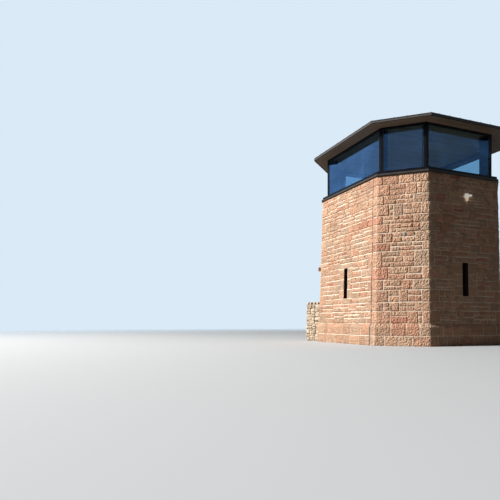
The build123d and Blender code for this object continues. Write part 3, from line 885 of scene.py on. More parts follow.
# %% Lay the plinth
PLINTH_OUT, PLINTH_KNEE, PLINTH_BED = 0.21, 0.65, 0.350
SLOPE = Vector((WALL_FOOT - PLINTH_KNEE, PLINTH_OUT - BATTER)).normalized()  # outward and upward share
KNEE = (1.0, SLOPE.y / (1.0 + SLOPE.x))


def plinth_rows(z0, z1):
    rows = rows_up(z0, min(z1, PLINTH_KNEE), lambda z: PLINTH_OUT)
    if z1 > PLINTH_KNEE:
        rows[-1] = (PLINTH_KNEE, PLINTH_OUT, KNEE)
        for z in ladder(PLINTH_KNEE, z1)[1:]:
            outward = BATTER + (PLINTH_OUT - BATTER) * (WALL_FOOT - z) / (WALL_FOOT - PLINTH_KNEE)
            rows.append((z, outward, (SLOPE.x, SLOPE.y)))
    return rows


def plinth_stones():
    """Two courses: the height of each, and the legs of its corner stones after and before a corner."""
    rng, patches = random.Random(31), Patches()
    lower = (0.004, PLINTH_BED - JOINT / 2, 0.30, 0.52)
    upper = (PLINTH_BED + JOINT / 2, WALL_FOOT - 0.004, 0.50, 0.28)
    for z0, z1, leg_after, leg_before in (lower, upper):
        rows = plinth_rows(z0, z1)
        for side in sides.values():
            low, high = leg_after - side.half, side.half - leg_before
            stretches = [(low, high)]
            if side.name == "north":
                stretches = [(low, -DOOR_HALF), (DOOR_HALF, high)]
            for low, high in stretches:
                edges = split_course(low, high, 0.30, [], rng)
                for a0, a1 in zip(edges, edges[1:]):
                    left = ARRIS if abs(a0 - DOOR_HALF) < 1e-6 else JOINT / 2
                    right = ARRIS if abs(a1 + DOOR_HALF) < 1e-6 else JOINT / 2
                    columns = [column(side, a) for a in ladder(a0 + left, a1 - right)]
                    red = side.name == "southwest" and z1 > PLINTH_KNEE
                    warmth = 0.95 if red else rng.uniform(0.25, 0.9)
                    proud = rng.uniform(0.004, 0.010)
                    patches.add(columns, rows, stone_facts(rng, warmth=warmth, proud=proud))
            columns = corner_columns(side.index, leg_before, leg_after, 0.0, 1.0)
            patches.add(columns, rows, stone_facts(rng, warmth=rng.uniform(0.25, 0.8), proud=0.007))
    return patches


set_stones("plinth_stones", plinth_stones(), stone_finish, "sandstone", seed=20.0, chip=0.006)

# %% [markdown]
# ## Metals, glass and boards
#
# The lookout is framed in dark coated metal. Such a coat is never one flat black: it chalks a
# little, rain leaves paler runs below joints, and dust settles on level tops. All metals here
# share one recipe with different numbers.

# %% Metal finishes
def metal_finish(name, base, worn, metallic, roughness, streaks=0.5, dents=0.0, shine=0.5):
    f = Finish(name)
    runs = f.noise(9.0, 4.0, 0.6, f.place * (1.0, 1.0, 0.12)).ramp(0.45, 0.75, 0.0, streaks)
    cloud = f.noise(2.6, 4.0, 0.6).ramp(0.35, 0.75, 0.0, 0.45)
    colour = runs.most(cloud).blend(base, worn)
    upward = f.node("NewGeometry", out="Normal").part("Z")
    dust = upward.ramp(0.55, 0.95, 0.0, 0.35) * f.noise(14.0, 3.0, 0.6)
    colour = dust.blend(colour, (0.34, 0.31, 0.27))
    height = f.bump(f.noise(900.0, 1.0, 0.5), 0.0004, 0.5)
    if dents:
        height = f.bump(f.noise(3.0, 2.0, 0.5), dents, 0.6, height)
    rough = cloud * 0.25 + (dust * 0.4 + roughness)
    return f.done(colour, rough, height, shine, Metallic=metallic)


frame_metal = metal_finish(
    "dark_coated_metal", (0.004, 0.005, 0.008), (0.012, 0.013, 0.017), 0.0, 0.45, shine=0.06
)
coping_metal = metal_finish("coping_metal", (0.058, 0.055, 0.054), (0.100, 0.095, 0.092), 0.0, 0.5, shine=0.1)
fascia_metal = metal_finish("fascia_metal", (0.10, 0.094, 0.090), (0.15, 0.141, 0.135), 0.0, 0.5, shine=0.1)
roof_metal = metal_finish(
    "roof_zinc", (0.13, 0.135, 0.14), (0.21, 0.21, 0.205), 0.2, 0.58, dents=0.004, shine=0.3
)
tape_metal = metal_finish("tape_metal", (0.16, 0.13, 0.11), (0.26, 0.24, 0.22), 0.6, 0.5)
handle_steel = metal_finish("handle_steel", (0.55, 0.54, 0.52), (0.42, 0.41, 0.39), 1.0, 0.26, 0.2)
rusty_iron = metal_finish("rusty_iron", (0.16, 0.065, 0.028), (0.34, 0.14, 0.05), 0.1, 0.72, 0.9)
print("metals ready")


# %% Glass
# The south panes get a weaker painted sky reflection.
SOUTH_PANES = -3.0  # they lie south of this y


def glass_finish(name, tint, painted_sky, first=0.055):
    """tint: what one surface lets through. painted_sky: the colour of a painted sky reflection, and first how
    much of it shows head-on.
    """
    f = Finish(name)
    through = f.node("BsdfTransparent", Color=tint)
    smear = f.noise(3.0, 4.0, 0.6, f.place * (1.0, 1.0, 0.35)).ramp(0.35, 0.75, 0.015, 0.05)
    wave = f.bump(f.noise(0.8, 1.0, 0.4), 0.0010, 0.10)
    mirror = f.node("BsdfGlossy", Color=painted_sky, Roughness=smear, Normal=wave)
    facing = f.node("LayerWeight", Blend=0.5, out="Facing")
    # The reflection is a painted sky: its colour is blue, its strength is patchy like clouds, and the south
    # panes get less of it.
    painted_sky_share = f.noise(0.9, 4.0, 0.62, f.place * (1.0, 1.0, 1.8), 0.6).ramp(0.42, 0.72, 1.0, 1.6)
    painted_sky_share = painted_sky_share * (f.place.part("Y") < SOUTH_PANES).ramp(0.0, 1.0, 1.15, 0.55)
    edge = (facing.power(3.0) * (1.0 - first) + first) * painted_sky_share
    return f.end(f.node("MixShader", edge.least(1.0), through, mirror))


# The lookout glass reflects a painted blue sky. The slit glass reflects a painted grey-blue sky that is
# strong enough to show as a strip. It lets little through, which is painted shade of the dark room behind.
lookout_glass = glass_finish("lookout_glass", (0.66, 0.80, 0.88), (0.21, 0.42, 0.80))
slit_glass = glass_finish("slit_glass", (0.10, 0.12, 0.15), (0.17, 0.26, 0.38), 0.12)
print("glass ready")


# %% Timber and other finishes
def board_finish(name, pale, dark):
    """Stained boards. The grain follows each board by the numbers along and across."""
    f = Finish(name)
    along, across, tone = f.told("along"), f.told("across"), f.told("tone")
    where = f.node("CombineXYZ", along * 1.2, across * 34.0, tone * 41.0)
    grain = f.noise(1.0, 5.0, 0.65, where, 0.6)
    colour = f.palette(grain, (0.30, dark), (0.70, pale)) * (tone * 0.30 + 0.85)
    damp = f.noise(1.6, 4.0, 0.6).ramp(0.5, 0.8, 0.0, 0.35)
    colour = damp.blend(colour, tuple(c * 0.55 for c in dark))
    return f.done(colour, grain * 0.2 + 0.55, f.bump(grain, 0.0012, 0.7), 0.3)


# painted_sunlight: how strongly a piece glows in its own colour. It is painted sunlight on a fitting that is
# off.
def plain_finish(name, pale, dark, scale, roughness, bump, painted_sunlight=0.0):
    f = Finish(name)
    broad, fine = f.noise(scale, 5.0, 0.62), f.noise(scale * 30.0, 2.0, 0.7)
    colour = f.palette(broad, (0.32, dark), (0.72, pale))
    height = f.bump(fine, bump, 0.7, f.bump(broad, bump * 4.0, 0.5))
    return f.done(colour, fine * 0.12 + roughness, height, Emission_Color=colour, Emission_Strength=painted_sunlight)


def rubble_core_finish(name, pale):
    """Lime mortar of the low wall, with patches of painted shade where it has fallen out and left holes."""
    f = Finish(name)
    painted_hole_shade = f.noise(8.0, 3.0, 0.6, f.place * (1.0, 1.0, 0.5), 0.5).ramp(0.44, 0.50, 1.0, 0.0)
    colour = painted_hole_shade.blend(pale, (0.030, 0.022, 0.016))
    return f.done(colour, 0.93, f.bump(f.noise(60.0, 4.0, 0.65), 0.004, 0.7), 0.2)


soffit_timber = board_finish("soffit_timber", (0.37, 0.265, 0.172), (0.245, 0.178, 0.11))
ceiling_timber = board_finish("ceiling_timber", (0.80, 0.54, 0.32), (0.60, 0.39, 0.22))
door_timber = board_finish("door_timber", (0.085, 0.055, 0.035), (0.035, 0.022, 0.015))
concrete = plain_finish("concrete", (0.50, 0.49, 0.46), (0.36, 0.35, 0.33), 3.0, 0.82, 0.001)
deck_timber = plain_finish("deck_timber", (0.46, 0.33, 0.20), (0.30, 0.20, 0.12), 8.0, 0.75, 0.001)
# The wall lamp, its plate and its sensor glow a little. This is painted sunlight, so they read bright against
# the shaded south face.
lamp_white = plain_finish("lamp_white", (0.86, 0.84, 0.80), (0.74, 0.71, 0.66), 22.0, 0.34, 0.0002, 0.45)
lamp_cream = plain_finish("lamp_cream", (0.88, 0.78, 0.62), (0.76, 0.65, 0.50), 30.0, 0.22, 0.0002, 0.45)
seal_rubber = plain_finish("seal_rubber", (0.016, 0.016, 0.016), (0.008, 0.008, 0.008), 60.0, 0.6, 0.0002)
rubble_mortar = rubble_core_finish("rubble_core", (0.80, 0.68, 0.53))
cope_bed_shade = rubble_core_finish("cope_bed_shade", (0.045, 0.034, 0.025))
print("other finishes ready")


# %% Finish every solid
FINISHES = (
    (wall_core, " ".join(name + "_wall" for name in FACES) + " plinth"),
    (concrete, "ground_floor lookout_floor"),
    (frame_metal, "slit_frames sill_rail head_beam corner_posts blade_columns"),
    (slit_glass, "slit_panes"),
    (lookout_glass, "glass_panes"),
    (dressed_stone, "door_threshold door_lintel"),
    (door_timber, "door_frame door_leaf"),
    (handle_steel, "door_handle"),
    (coping_metal, "coping"),
    (deck_timber, "soffit ceiling roof_deck"),
    (fascia_metal, "fascia"),
    (roof_metal, "roof_sheet crown_cap hip_rolls"),
    (lamp_white, "lamp_plate lamp_hood lamp_sensor"),
    (lamp_cream, "lamp_bowl"),
    (rusty_iron, "bracket_lamp_arm bracket_lamp"),
    (tape_metal, "lightning_tape tape_clips"),
    (rubble_mortar, "rubble_wall cope_stones"),
)
finish_of = {name: finish for finish, names in FINISHES for name in names.split()}
for name, solid in nodes.items():
    for slot in solid.material_slots:
        slot.material = finish_of[name]
print("finished", len(finish_of), "solids")

# %% [markdown]
# ## Boards under the eaves and over the room
#
# The underside of the roof is boarded. Under the eaves the boards run round the tower and meet on
# the mitres, and over the room they lie side by side. A board is laid out as one flat quad that
# knows its own length and width, and a small tree gives all of them their thickness.

# %% Boards
CHAMFER, BOARD_GAP = 0.003, 0.007
SOFFIT, LOOKOUT_FLOOR = 7.780, 5.200
EAVE_INSIDE, BEAM_FACE, BEAM_INSIDE, FLOOR_EDGE = 0.318, -0.177, -0.248, -0.285
EAVE_BOARDS = 5


def board_tree():
    start, given = growth_tree("thick_boards", thickness=0.012)
    node = start.node
    body = node("ExtrudeMesh", Mesh=given, Offset_Scale=given.out("thickness") - CHAMFER)
    rim = node("ExtrudeMesh", Mesh=body, Selection=body.out("Top"), Offset_Scale=CHAMFER)
    top = rim.out("Top")
    front = node("ScaleElements", domain="FACE", Geometry=rim, Selection=top, Scale=0.995)
    whole = node("JoinGeometry", front)
    whole.feed(whole.socket.node.inputs[0], node("FlipFaces", given))
    return end_tree(start, node("MergeByDistance", Geometry=whole, Distance=0.0001), given)


thick_boards = board_tree()


def lay_boards(name, boards, thickness, finish, rng):
    """Boards from four corners each, the first two along it. They know their run and tone."""
    points, numbers = [], {"along": [], "across": [], "tone": []}
    for corners in boards:
        tone, start = rng.random(), rng.uniform(0.0, 40.0)
        end = start + (corners[1] - corners[0]).length
        wide = (corners[3] - corners[0]).length
        points += corners
        numbers["along"] += [start, end, end, start]
        numbers["across"] += [0.0, 0.0, wide, wide]
        numbers["tone"] += [tone] * 4
    faces = [range(i, i + 4) for i in range(0, len(points), 4)]
    flat = plain_piece(name, points, faces, **numbers)
    return place_piece(grow(flat, thick_boards, finish, thickness=thickness))


def eave_boards():
    """Boards that run round the tower under the eaves and meet on the mitres."""
    boards, step = [], (EAVE_INSIDE - BEAM_FACE) / EAVE_BOARDS
    for side in sides.values():
        mitre = side.half - 0.004
        for i in range(EAVE_BOARDS):
            near = EAVE_INSIDE - step * i - BOARD_GAP / 2
            far = EAVE_INSIDE - step * (i + 1) + BOARD_GAP / 2
            ring = [(mitre, near), (-mitre, near), (-mitre, far), (mitre, far)]
            boards.append([Vector((*side.point(a, out), SOFFIT)) for a, out in ring])
    return boards


def plan_half_width(y, outward):
    """How far the plan reaches east or west at y, at an offset."""
    cut = CORNER_CUT + outward * (2.0 - math.sqrt(2.0))
    return HALF_X + outward + min(0.0, HALF_Y + outward - cut - abs(y))


def flat_boards(outward, level, width, up=False):
    """Parallel boards that fill the plan at an offset, running west to east."""
    boards, y_end = [], HALF_Y + outward
    count = round(2 * y_end / width)
    step = 2 * y_end / count
    for i in range(count):
        y0, y1 = -y_end + step * i + BOARD_GAP / 2, -y_end + step * (i + 1) - BOARD_GAP / 2
        x0, x1 = plan_half_width(y0, outward), plan_half_width(y1, outward)
        ring = [Vector((x, y, level)) for x, y in ((-x0, y0), (x0, y0), (x1, y1), (-x1, y1))]
        boards.append(ring if up else [ring[1], ring[0], ring[3], ring[2]])
    return boards


rng = random.Random(8)
ceiling = flat_boards(BEAM_INSIDE, SOFFIT, 0.12)
floor_boards = flat_boards(FLOOR_EDGE, LOOKOUT_FLOOR, 0.15, up=True)
lay_boards("soffit_boards", eave_boards(), 0.012, soffit_timber, rng)
lay_boards("ceiling_boards", ceiling, 0.012, ceiling_timber, rng)
lay_boards("lookout_floor_boards", floor_boards, 0.020, deck_timber, rng)

# %% [markdown]
# ## Sheet metal roof
#
# The roof is a faceted cone of metal sheets. Sheets of that length are joined with standing
# seams, upright folds that run up the slope at even steps and end on the hip rolls. Each seam is
# a single edge in the layout mesh, and the tree sweeps a folded profile along it.

# %% Standing seams
EAVE_OUT, ROOF_FOOT, ROOF_RISE, CROWN_SHARE = 0.32, 7.859, 0.35, 0.62 / 6.24
SEAM_STEP, SEAM_HIGH, SEAM_FOLD = 0.46, 0.030, 0.012


def seam_lines():
    """One edge for each seam. A share is the distance from the crown's middle: 1 at the eaves."""
    points = []
    for side in sides.values():
        origin = side.point(0.0, EAVE_OUT)
        reach, shift = origin.dot(side.outward), origin.dot(side.along)
        half = side.half + MITRE * EAVE_OUT
        count = math.floor((2 * half - 0.2) / SEAM_STEP)
        for i in range(count + 1):
            s = shift + (i - count / 2) * SEAM_STEP
            share = max(s / (shift + math.copysign(half, s)), CROWN_SHARE) + 0.012
            if share > 0.93:
                continue
            rise = (1 - share) / (1 - CROWN_SHARE)
            foot = side.outward * (reach + 0.030) + side.along * s
            head = side.outward * reach * share + side.along * s
            points += [(*foot, ROOF_FOOT), (*head, ROOF_FOOT + ROOF_RISE * rise)]
    edges = [(i, i + 1) for i in range(0, len(points), 2)]
    return plain_piece("roof_seams", points, [], edges)


def seam_tree():
    start, given = growth_tree("standing_seam")
    node = start.node
    run = node("SetCurveNormal", node("MeshToCurve", given), mode="Z_UP")
    box = node("CurvePrimitiveQuadrilateral", Width=SEAM_FOLD, Height=SEAM_HIGH)
    round_box = node("FilletCurve", mode="POLY", Curve=box, Radius=0.004, Count=2)
    fold = node("CurveToMesh", Curve=run, Profile_Curve=round_box, Fill_Caps=True)
    raised = node("Transform", Geometry=fold, Translation=(0.0, 0.0, SEAM_HIGH * 0.42))
    return end_tree(start, raised, given)


place_piece(grow(seam_lines(), seam_tree(), roof_metal))

# %% [markdown]
# ## Coping joints, drip and seals
#
# The coping comes in lengths too, with a cover strap over each joint and one at each corner. Its
# lower edge is folded out into a drip that throws rain clear of the stone. The drip is made of the
# dark frame metal and is partly painted shade, a dark line for the shadow under the coping. The big
# panes sit in rubber seals, a thin line round each that shows where the glass meets the metal.

# %% Swept trims
def solid_piece(name, points, faces, finish, **numbers):
    """A closed piece with one finish."""
    piece = closed(plain_piece(name, points, faces, **numbers))
    piece.data.materials.append(finish)
    return piece


def loft(name, rings, finish, endless=False):
    """A solid through rings of points, with flat ends unless it runs back into its first ring."""
    size, count, faces = len(rings[0]), len(rings), []
    for i in range(count if endless else count - 1):
        low, high = i * size, (i + 1) % count * size
        for k in range(size):
            m = (k + 1) % size
            faces.append((low + k, high + k, high + m, low + m))
    return solid_piece(name, [point for ring in rings for point in ring], faces, finish)


def sweep(name, path, profile, finish, endless=False):
    """A profile of (across, height) swept along a level path of (plan point, outward direction)."""
    rings = [[(*(plan + away * out), z) for out, z in profile] for plan, away in path]
    return loft(name, rings, finish, endless)


def joined(name, pieces):
    """Several pieces of one finish made one."""
    work = bmesh.new()
    finish = pieces[0].data.materials[0]
    for piece in pieces:
        work.from_mesh(piece.data)
        bpy.data.objects.remove(piece)
    return place_piece(from_work(name, work, finish))


def corner_path(corner, reach):
    """A path round one corner, reaching along both faces."""
    before, after = faces_at(corner)
    return [
        (before.point(before.half - reach), before.outward),
        (before.point(before.half), before.away(before.half)),
        (after.point(reach - after.half), after.outward),
    ]


ring_path = [(side.point(-side.half), side.away(-side.half)) for side in sides.values()]
DRIP = [(0.0523, 6.007), (0.0523, 5.996), (0.060, 5.989), (0.065, 5.991), (0.058, 6.001)]
STRAP = [
    (0.0525, 5.997), (0.0565, 5.997), (0.0565, 6.0705), (0.0075, 6.0795), (0.0075, 6.0745), (0.0525, 6.0685)
]
# The drip's dark metal is partly painted shade for the shadow line under the coping.
place_piece(sweep("coping_drip", ring_path, DRIP, frame_metal, True))
STRAP_LEG, STRAP_HALF, STRAP_STEP = 0.05, 0.035, 1.1
strap_paths = [corner_path(corner, STRAP_LEG) for corner in range(8)]
for side in sides.values():
    count = 3 if side.half > 2.0 else 2 if side.wide else 0
    for i in range(count):
        a = (i - (count - 1) / 2) * STRAP_STEP
        strap_paths.append([(side.point(a + w), side.outward) for w in (-STRAP_HALF, STRAP_HALF)])
joined("coping_straps", [sweep("strap", path, STRAP, coping_metal) for path in strap_paths])


# %% Rubber seals
GLASS_FOOT, GLASS_HEAD, POST_LEG, FRAME_FACE = 6.21, 7.702, 0.090, -0.175
SEAL_WIDE, SEAL_DEEP = 0.012, 0.010


def pane_seal(side, outward, facing):
    """A thin rubber frame round one pane, standing 3 mm off the metal's rebate."""
    reach = side.half + MITRE * FRAME_FACE - POST_LEG
    profile = ((0.0, 0.0), (SEAL_WIDE, 0.0), (SEAL_WIDE, SEAL_DEEP), (0.0, SEAL_DEEP))
    rings = [
        [side.off(way * (reach - w), outward + d * facing, z + w * up) for w, d in profile]
        for way, z, up in ((-1, GLASS_FOOT, 1), (1, GLASS_FOOT, 1), (1, GLASS_HEAD, -1), (-1, GLASS_HEAD, -1))
    ]
    return loft("seal", rings, seal_rubber, True)


seals = []
for side in sides.values():
    seals.append(pane_seal(side, FRAME_FACE - 0.0205, 1))
    seals.append(pane_seal(side, FRAME_FACE - 0.0495, -1))
joined("pane_seals", seals)

# %% [markdown]
# ## Fascia joints and edges
#
# The fascia is folded sheet as well. Narrow cover strips hide its joints at the corners, and a dark
# edge trim runs round above and below. The trims are partly painted shade: their dark metal also
# stands for the shadow under the roof sheet's edge and the shaded soffit at the fascia's foot.

# %% Fascia strips and trims
FASCIA_FACE = 0.3505
STRIP = [(FASCIA_FACE, 7.7715), (0.3535, 7.7715), (0.3535, 7.833), (FASCIA_FACE, 7.833)]
# Dark trims, partly painted shade: the shadow under the roof sheet's edge above, the shaded soffit below.
for place, low, high in (("lower", 7.7535, 7.771), ("upper", 7.8335, 7.850)):
    foot = [(FASCIA_FACE, low), (0.3555, low), (0.3565, low + 0.002)]
    head = [(0.3565, high - 0.002), (0.3555, high), (FASCIA_FACE, high)]
    trim = sweep("fascia_trim_" + place, ring_path, foot + head, frame_metal, True)
    place_piece(trim)
strips = [sweep("strip", corner_path(corner, 0.045), STRIP, fascia_metal) for corner in range(8)]
joined("fascia_strips", strips)

# %% [markdown]
# ## The lightning conductor
#
# A flat metal tape runs down the west face near its corner, from the coping to the ground. On the
# real wall it lies on the proud faces of the stones, so it is laid again here over the rock and
# stands for the plain solid. It wanders a little, as tape does between its clips.

# %% Tape and clips
TAPE_WIDE, TAPE_THICK, TAPE_OUT, CLIP_COUNT = 0.040, 0.006, 0.013, 6
west = sides["west"]


def tape_place(z):
    """How far right of the middle the tape runs at a height: beside the corner, straying a little."""
    return TAPE_A + MITRE * wall_outward(z) * 0.8 + 0.010 * math.sin(z * 2.1)


def tape():
    """The tape through stations down the shaft and the plinth."""
    heights = (5.99, 5.6, 5.2, 4.8, 4.4, 4.0, 3.6, 3.2, 2.8, 2.4, 2.1, 1.8, 1.5, 1.2, 1.0, 0.86)
    stations = [(z, wall_outward(z) + TAPE_OUT) for z in heights]
    stations += [(0.79, BATTER + TAPE_OUT + 0.008), (0.665, PLINTH_OUT + 0.012)]
    stations += [(z, PLINTH_OUT + 0.014) for z in (0.60, 0.35, 0.005)]
    half = TAPE_WIDE / 2
    profile = ((-half, 0.0), (half, 0.0), (half, TAPE_THICK), (-half, TAPE_THICK))
    rings = [[west.off(tape_place(z) + a, out + front, z) for a, front in profile] for z, out in stations]
    return loft("conductor_tape", rings, tape_metal)


def fitting(side, middle, size, chamfer, finish):
    """A small block with chamfered edges, of a width, height and depth."""
    right, up, out = side.along.to_3d(), Vector((0.0, 0.0, 1.0)), side.outward.to_3d()
    work = bmesh.new()
    bmesh.ops.create_cube(work, size=1.0)
    bmesh.ops.scale(work, vec=size, verts=work.verts)
    bmesh.ops.bevel(work, geom=list(work.edges), offset=chamfer, segments=2, affect="EDGES", profile=0.6)
    for v in work.verts:
        v.co = middle + right * v.co.x + up * v.co.y + out * v.co.z
    bmesh.ops.recalc_face_normals(work, faces=work.faces)
    return from_work("fitting", work, finish)


def fittings(side, a, outward, z, parts, finish=frame_metal):
    """Fittings round one place on a face. A part: how far right, out and up, its size and chamfer."""
    return [
        fitting(side, side.off(a + right, outward + out, z + up), size, chamfer, finish)
        for right, out, up, size, chamfer in parts
    ]


tape_piece = place_piece(tape())
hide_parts("lightning_tape")
CLIP = (  # a saddle over the tape, its two screws, and a spacer that reaches back to the wall
    (0.0, 0.0045, 0.0, (0.074, 0.040, 0.013), 0.0025),
    (-0.029, 0.012, 0.0, (0.009, 0.009, 0.005), 0.0015),
    (0.029, 0.012, 0.0, (0.009, 0.009, 0.005), 0.0015),
    (0.0, -TAPE_OUT / 2 - 0.002, 0.0, (0.070, 0.034, TAPE_OUT), 0.002),
)
clips = []
for i in range(CLIP_COUNT):
    z = WALL_FOOT + (WALL_HEAD - WALL_FOOT) * (i + 0.5) / CLIP_COUNT
    clips += fittings(west, tape_place(z), wall_outward(z) + TAPE_OUT, z, CLIP, tape_metal)
clip_piece = joined("conductor_clips", clips)
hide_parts("tape_clips")

# %% [markdown]
# ## Slit windows
#
# Each slit has a metal frame with three lights, divided by two bars. The bars clamp the glass
# between them, one in front and one behind.

# %% Bars in the slits
SLIT_GLASS_OUT, SLIT_MIDDLE = -0.119, (SLIT_FOOT + SLIT_HEAD) / 2
LIGHT = (SLIT_HEAD - SLIT_FOOT) / 3  # the height of one light
SLIT_BARS = [
    (0.0, off_glass, rise, (0.222, 0.030, 0.018), 0.003)
    for rise in (-LIGHT / 2, LIGHT / 2) for off_glass in (0.009, -0.021)
]
SLIT_BARS += [(a, 0.0065, 0.0, (0.009, 1.118, 0.013), 0.002) for a in (-0.105, 0.105)]
bars = []
for name in ("south", "east", "west"):
    bars += fittings(sides[name], 0.0, SLIT_GLASS_OUT, SLIT_MIDDLE, SLIT_BARS)
joined("slit_bars", bars)

# %% [markdown]
# ## The entrance
#
# The door is made of upright boards with a groove at each joint, on two strap hinges and with a
# plate behind its pull. The boards are a thin layer on the solid leaf.

# %% Door boards, straps and plate
LEAF_HALF, LEAF_FOOT, LEAF_HEAD, LEAF_FACE = 0.416, 0.150, 2.166, -0.060
DOOR_BOARDS, BOARD_EDGE, BOARD_END = 7, 0.003, 0.006
north = sides["north"]


def door_boards():
    step, boards = 2 * LEAF_HALF / DOOR_BOARDS, []
    foot, head = LEAF_FOOT + BOARD_END, LEAF_HEAD - BOARD_END
    for i in range(DOOR_BOARDS):
        a0, a1 = step * i - LEAF_HALF + BOARD_EDGE, step * (i + 1) - LEAF_HALF - BOARD_EDGE
        ring = ((a1, foot), (a1, head), (a0, head), (a0, foot))
        boards.append([north.off(a, LEAF_FACE + 0.0005, z) for a, z in ring])
    return boards


lay_boards("door_boards", door_boards(), 0.010, door_timber, random.Random(12))
FURNITURE = [  # the plate behind the pull, and the lock
    (0.336, 0.0125, 1.26, (0.055, 0.300, 0.004), 0.0015),
    (0.336, 0.0125, 1.02, (0.055, 0.075, 0.007), 0.002),
]
for z in (0.45, 1.80):  # the straps, their knuckles and their studs
    FURNITURE.append((-0.13, 0.0135, z, (0.55, 0.045, 0.005), 0.0015))
    FURNITURE.append((-LEAF_HALF, 0.016, z, (0.024, 0.090, 0.018), 0.006))
    FURNITURE += [(-0.37 + 0.115 * k, 0.0175, z, (0.014, 0.014, 0.006), 0.002) for k in range(5)]
joined("door_furniture", fittings(north, 0.0, LEAF_FACE, 0.0, FURNITURE))

# %% [markdown]
# ## The rubble wall
#
# A low wall of random rubble meets the northwest face. Its stones are smaller and rounder, with
# deep dark gaps, and rough stones stand on edge along its top. The dark in the gaps is partly
# painted shade, dark patches in the mortar behind the stones. The same rock tree serves, on patches
# laid out over both long faces and the end. It sinks these stones deeper in their mortar and lets
# their edges wander more.

# %% Rubble stones
RUBBLE_START, RUBBLE_LONG, RUBBLE_HALF, RUBBLE_HIGH, RUBBLE_BATTER = 0.10, 0.97, 0.24, 1.62, 0.035
northwest = sides["northwest"]


class RubbleFace:
    """A face of the low wall that answers as a side of the shaft does: way 1, -1, or 0 for the end."""

    name = "rubble"

    def __init__(self, way):
        self.way = way

    def point(self, a, half):
        if self.way:
            return northwest.off(self.way * half, a, 0.0)
        return northwest.off(a / RUBBLE_HALF * half, RUBBLE_LONG, 0.0)

    def away(self, a):
        return northwest.along * self.way if self.way else northwest.outward


def uncoursed(a0, a1, z0, z1, rng):
    """Split a face at random, upright or level, until every part is the size of a stone."""
    wide, high = a1 - a0, z1 - z0
    if wide < rng.uniform(0.22, 0.38) and high < rng.uniform(0.15, 0.27):
        return [(a0, a1, z0, z1)]
    share = rng.uniform(0.36, 0.64)
    if wide > high * rng.uniform(0.9, 1.9):
        middle = a0 + wide * share
        return uncoursed(a0, middle, z0, z1, rng) + uncoursed(middle, a1, z0, z1, rng)
    middle = z0 + high * share
    return uncoursed(a0, a1, z0, middle, rng) + uncoursed(a0, a1, middle, z1, rng)


def rubble_half(z):
    """Half the thickness of the low wall at a height."""
    return RUBBLE_HALF - RUBBLE_BATTER * z / RUBBLE_HIGH


def rubble_patches():
    rng, patches = random.Random(77), Patches()
    for way, low, high in (
        (1, RUBBLE_START, RUBBLE_LONG), (-1, RUBBLE_START, RUBBLE_LONG), (0, -RUBBLE_HALF, RUBBLE_HALF)
    ):
        for a0, a1, z0, z1 in uncoursed(low, high, 0.01, RUBBLE_HIGH, rng):
            gap = rng.uniform(0.006, 0.026)
            stations = ladder(a0 + gap, a1 - gap)
            columns = [column(RubbleFace(way), a) for a in (stations[::-1] if way > 0 else stations)]
            rows = rows_up(z0 + gap * 0.8, z1 - gap * 0.8, rubble_half)
            facts = stone_facts(rng, proud=rng.uniform(0.014, 0.036), warmth=rng.uniform(0.0, 0.7))
            patches.add(columns, rows, facts)
    return patches


def rubble_finish():
    f = Finish("rubble_stone")
    rock = f.palette(
        f.told("warmth"),
        (0.0, (0.74, 0.65, 0.54)),
        (0.30, (0.90, 0.79, 0.64)),
        (0.6, (0.94, 0.80, 0.63)),
        (1.0, (0.78, 0.56, 0.42)),
    )
    rock = rock * (f.told("tone") * 0.45 + 0.72) * f.noise(7.0, 4.0, 0.6).ramp(0.3, 0.75, 0.78, 1.12)
    lichen = f.noise(11.0, 3.0, 0.7).ramp(0.60, 0.68, 0.0, 0.6)
    rock = lichen.blend(rock, (0.88, 0.80, 0.62))
    dark = f.noise(15.0, 3.0, 0.6).ramp(0.60, 0.78, 0.0, 0.5)
    rock = dark.blend(rock, (0.24, 0.18, 0.13))
    height = f.bump(f.noise(22.0, 5.0, 0.65), 0.040, 0.8)
    sand = f.bump(f.noise(240.0, 2.0, 0.8), 0.0015, 0.7, height)
    return f.done(rock, 0.90, sand, 0.2)


rubble_stone = rubble_finish()
set_stones("rubble_stones", rubble_patches(), rubble_stone, "rubble", sunk=0.020, wander=0.036, seed=41.0)

# %% [markdown]
# The stones on top are all different, so each starts as a box with a few cells, is given its own
# lean and height, and is then roughened by one noise. They stand in a lump of old mortar that is
# coloured nearly black as painted shade between them.

# %% Upright cope stones
COPE_CELLS = 4
COPE_LEVELS = (  # share of the height, of the reach across and of the thickness
    (None, 1.0, 1.0), (0.5, 0.94, 0.96), (1.0, 0.74, 0.80)
)


def cope_tree():
    start, given = growth_tree("rough_blocks", rough=0.055)
    node = start.node
    fine = node("SubdivisionSurface", Mesh=given, Level=2, Edge_Crease=0.55)
    place = node("InputPosition") + 5.7
    knocks = (lumps(start, place, 9.0, 3.0, "Color") - 0.5) * given.out("rough")
    rough = node("SetPosition", Geometry=fine, Offset=knocks)
    return end_tree(start, node("SetShadeSmooth", rough), given)


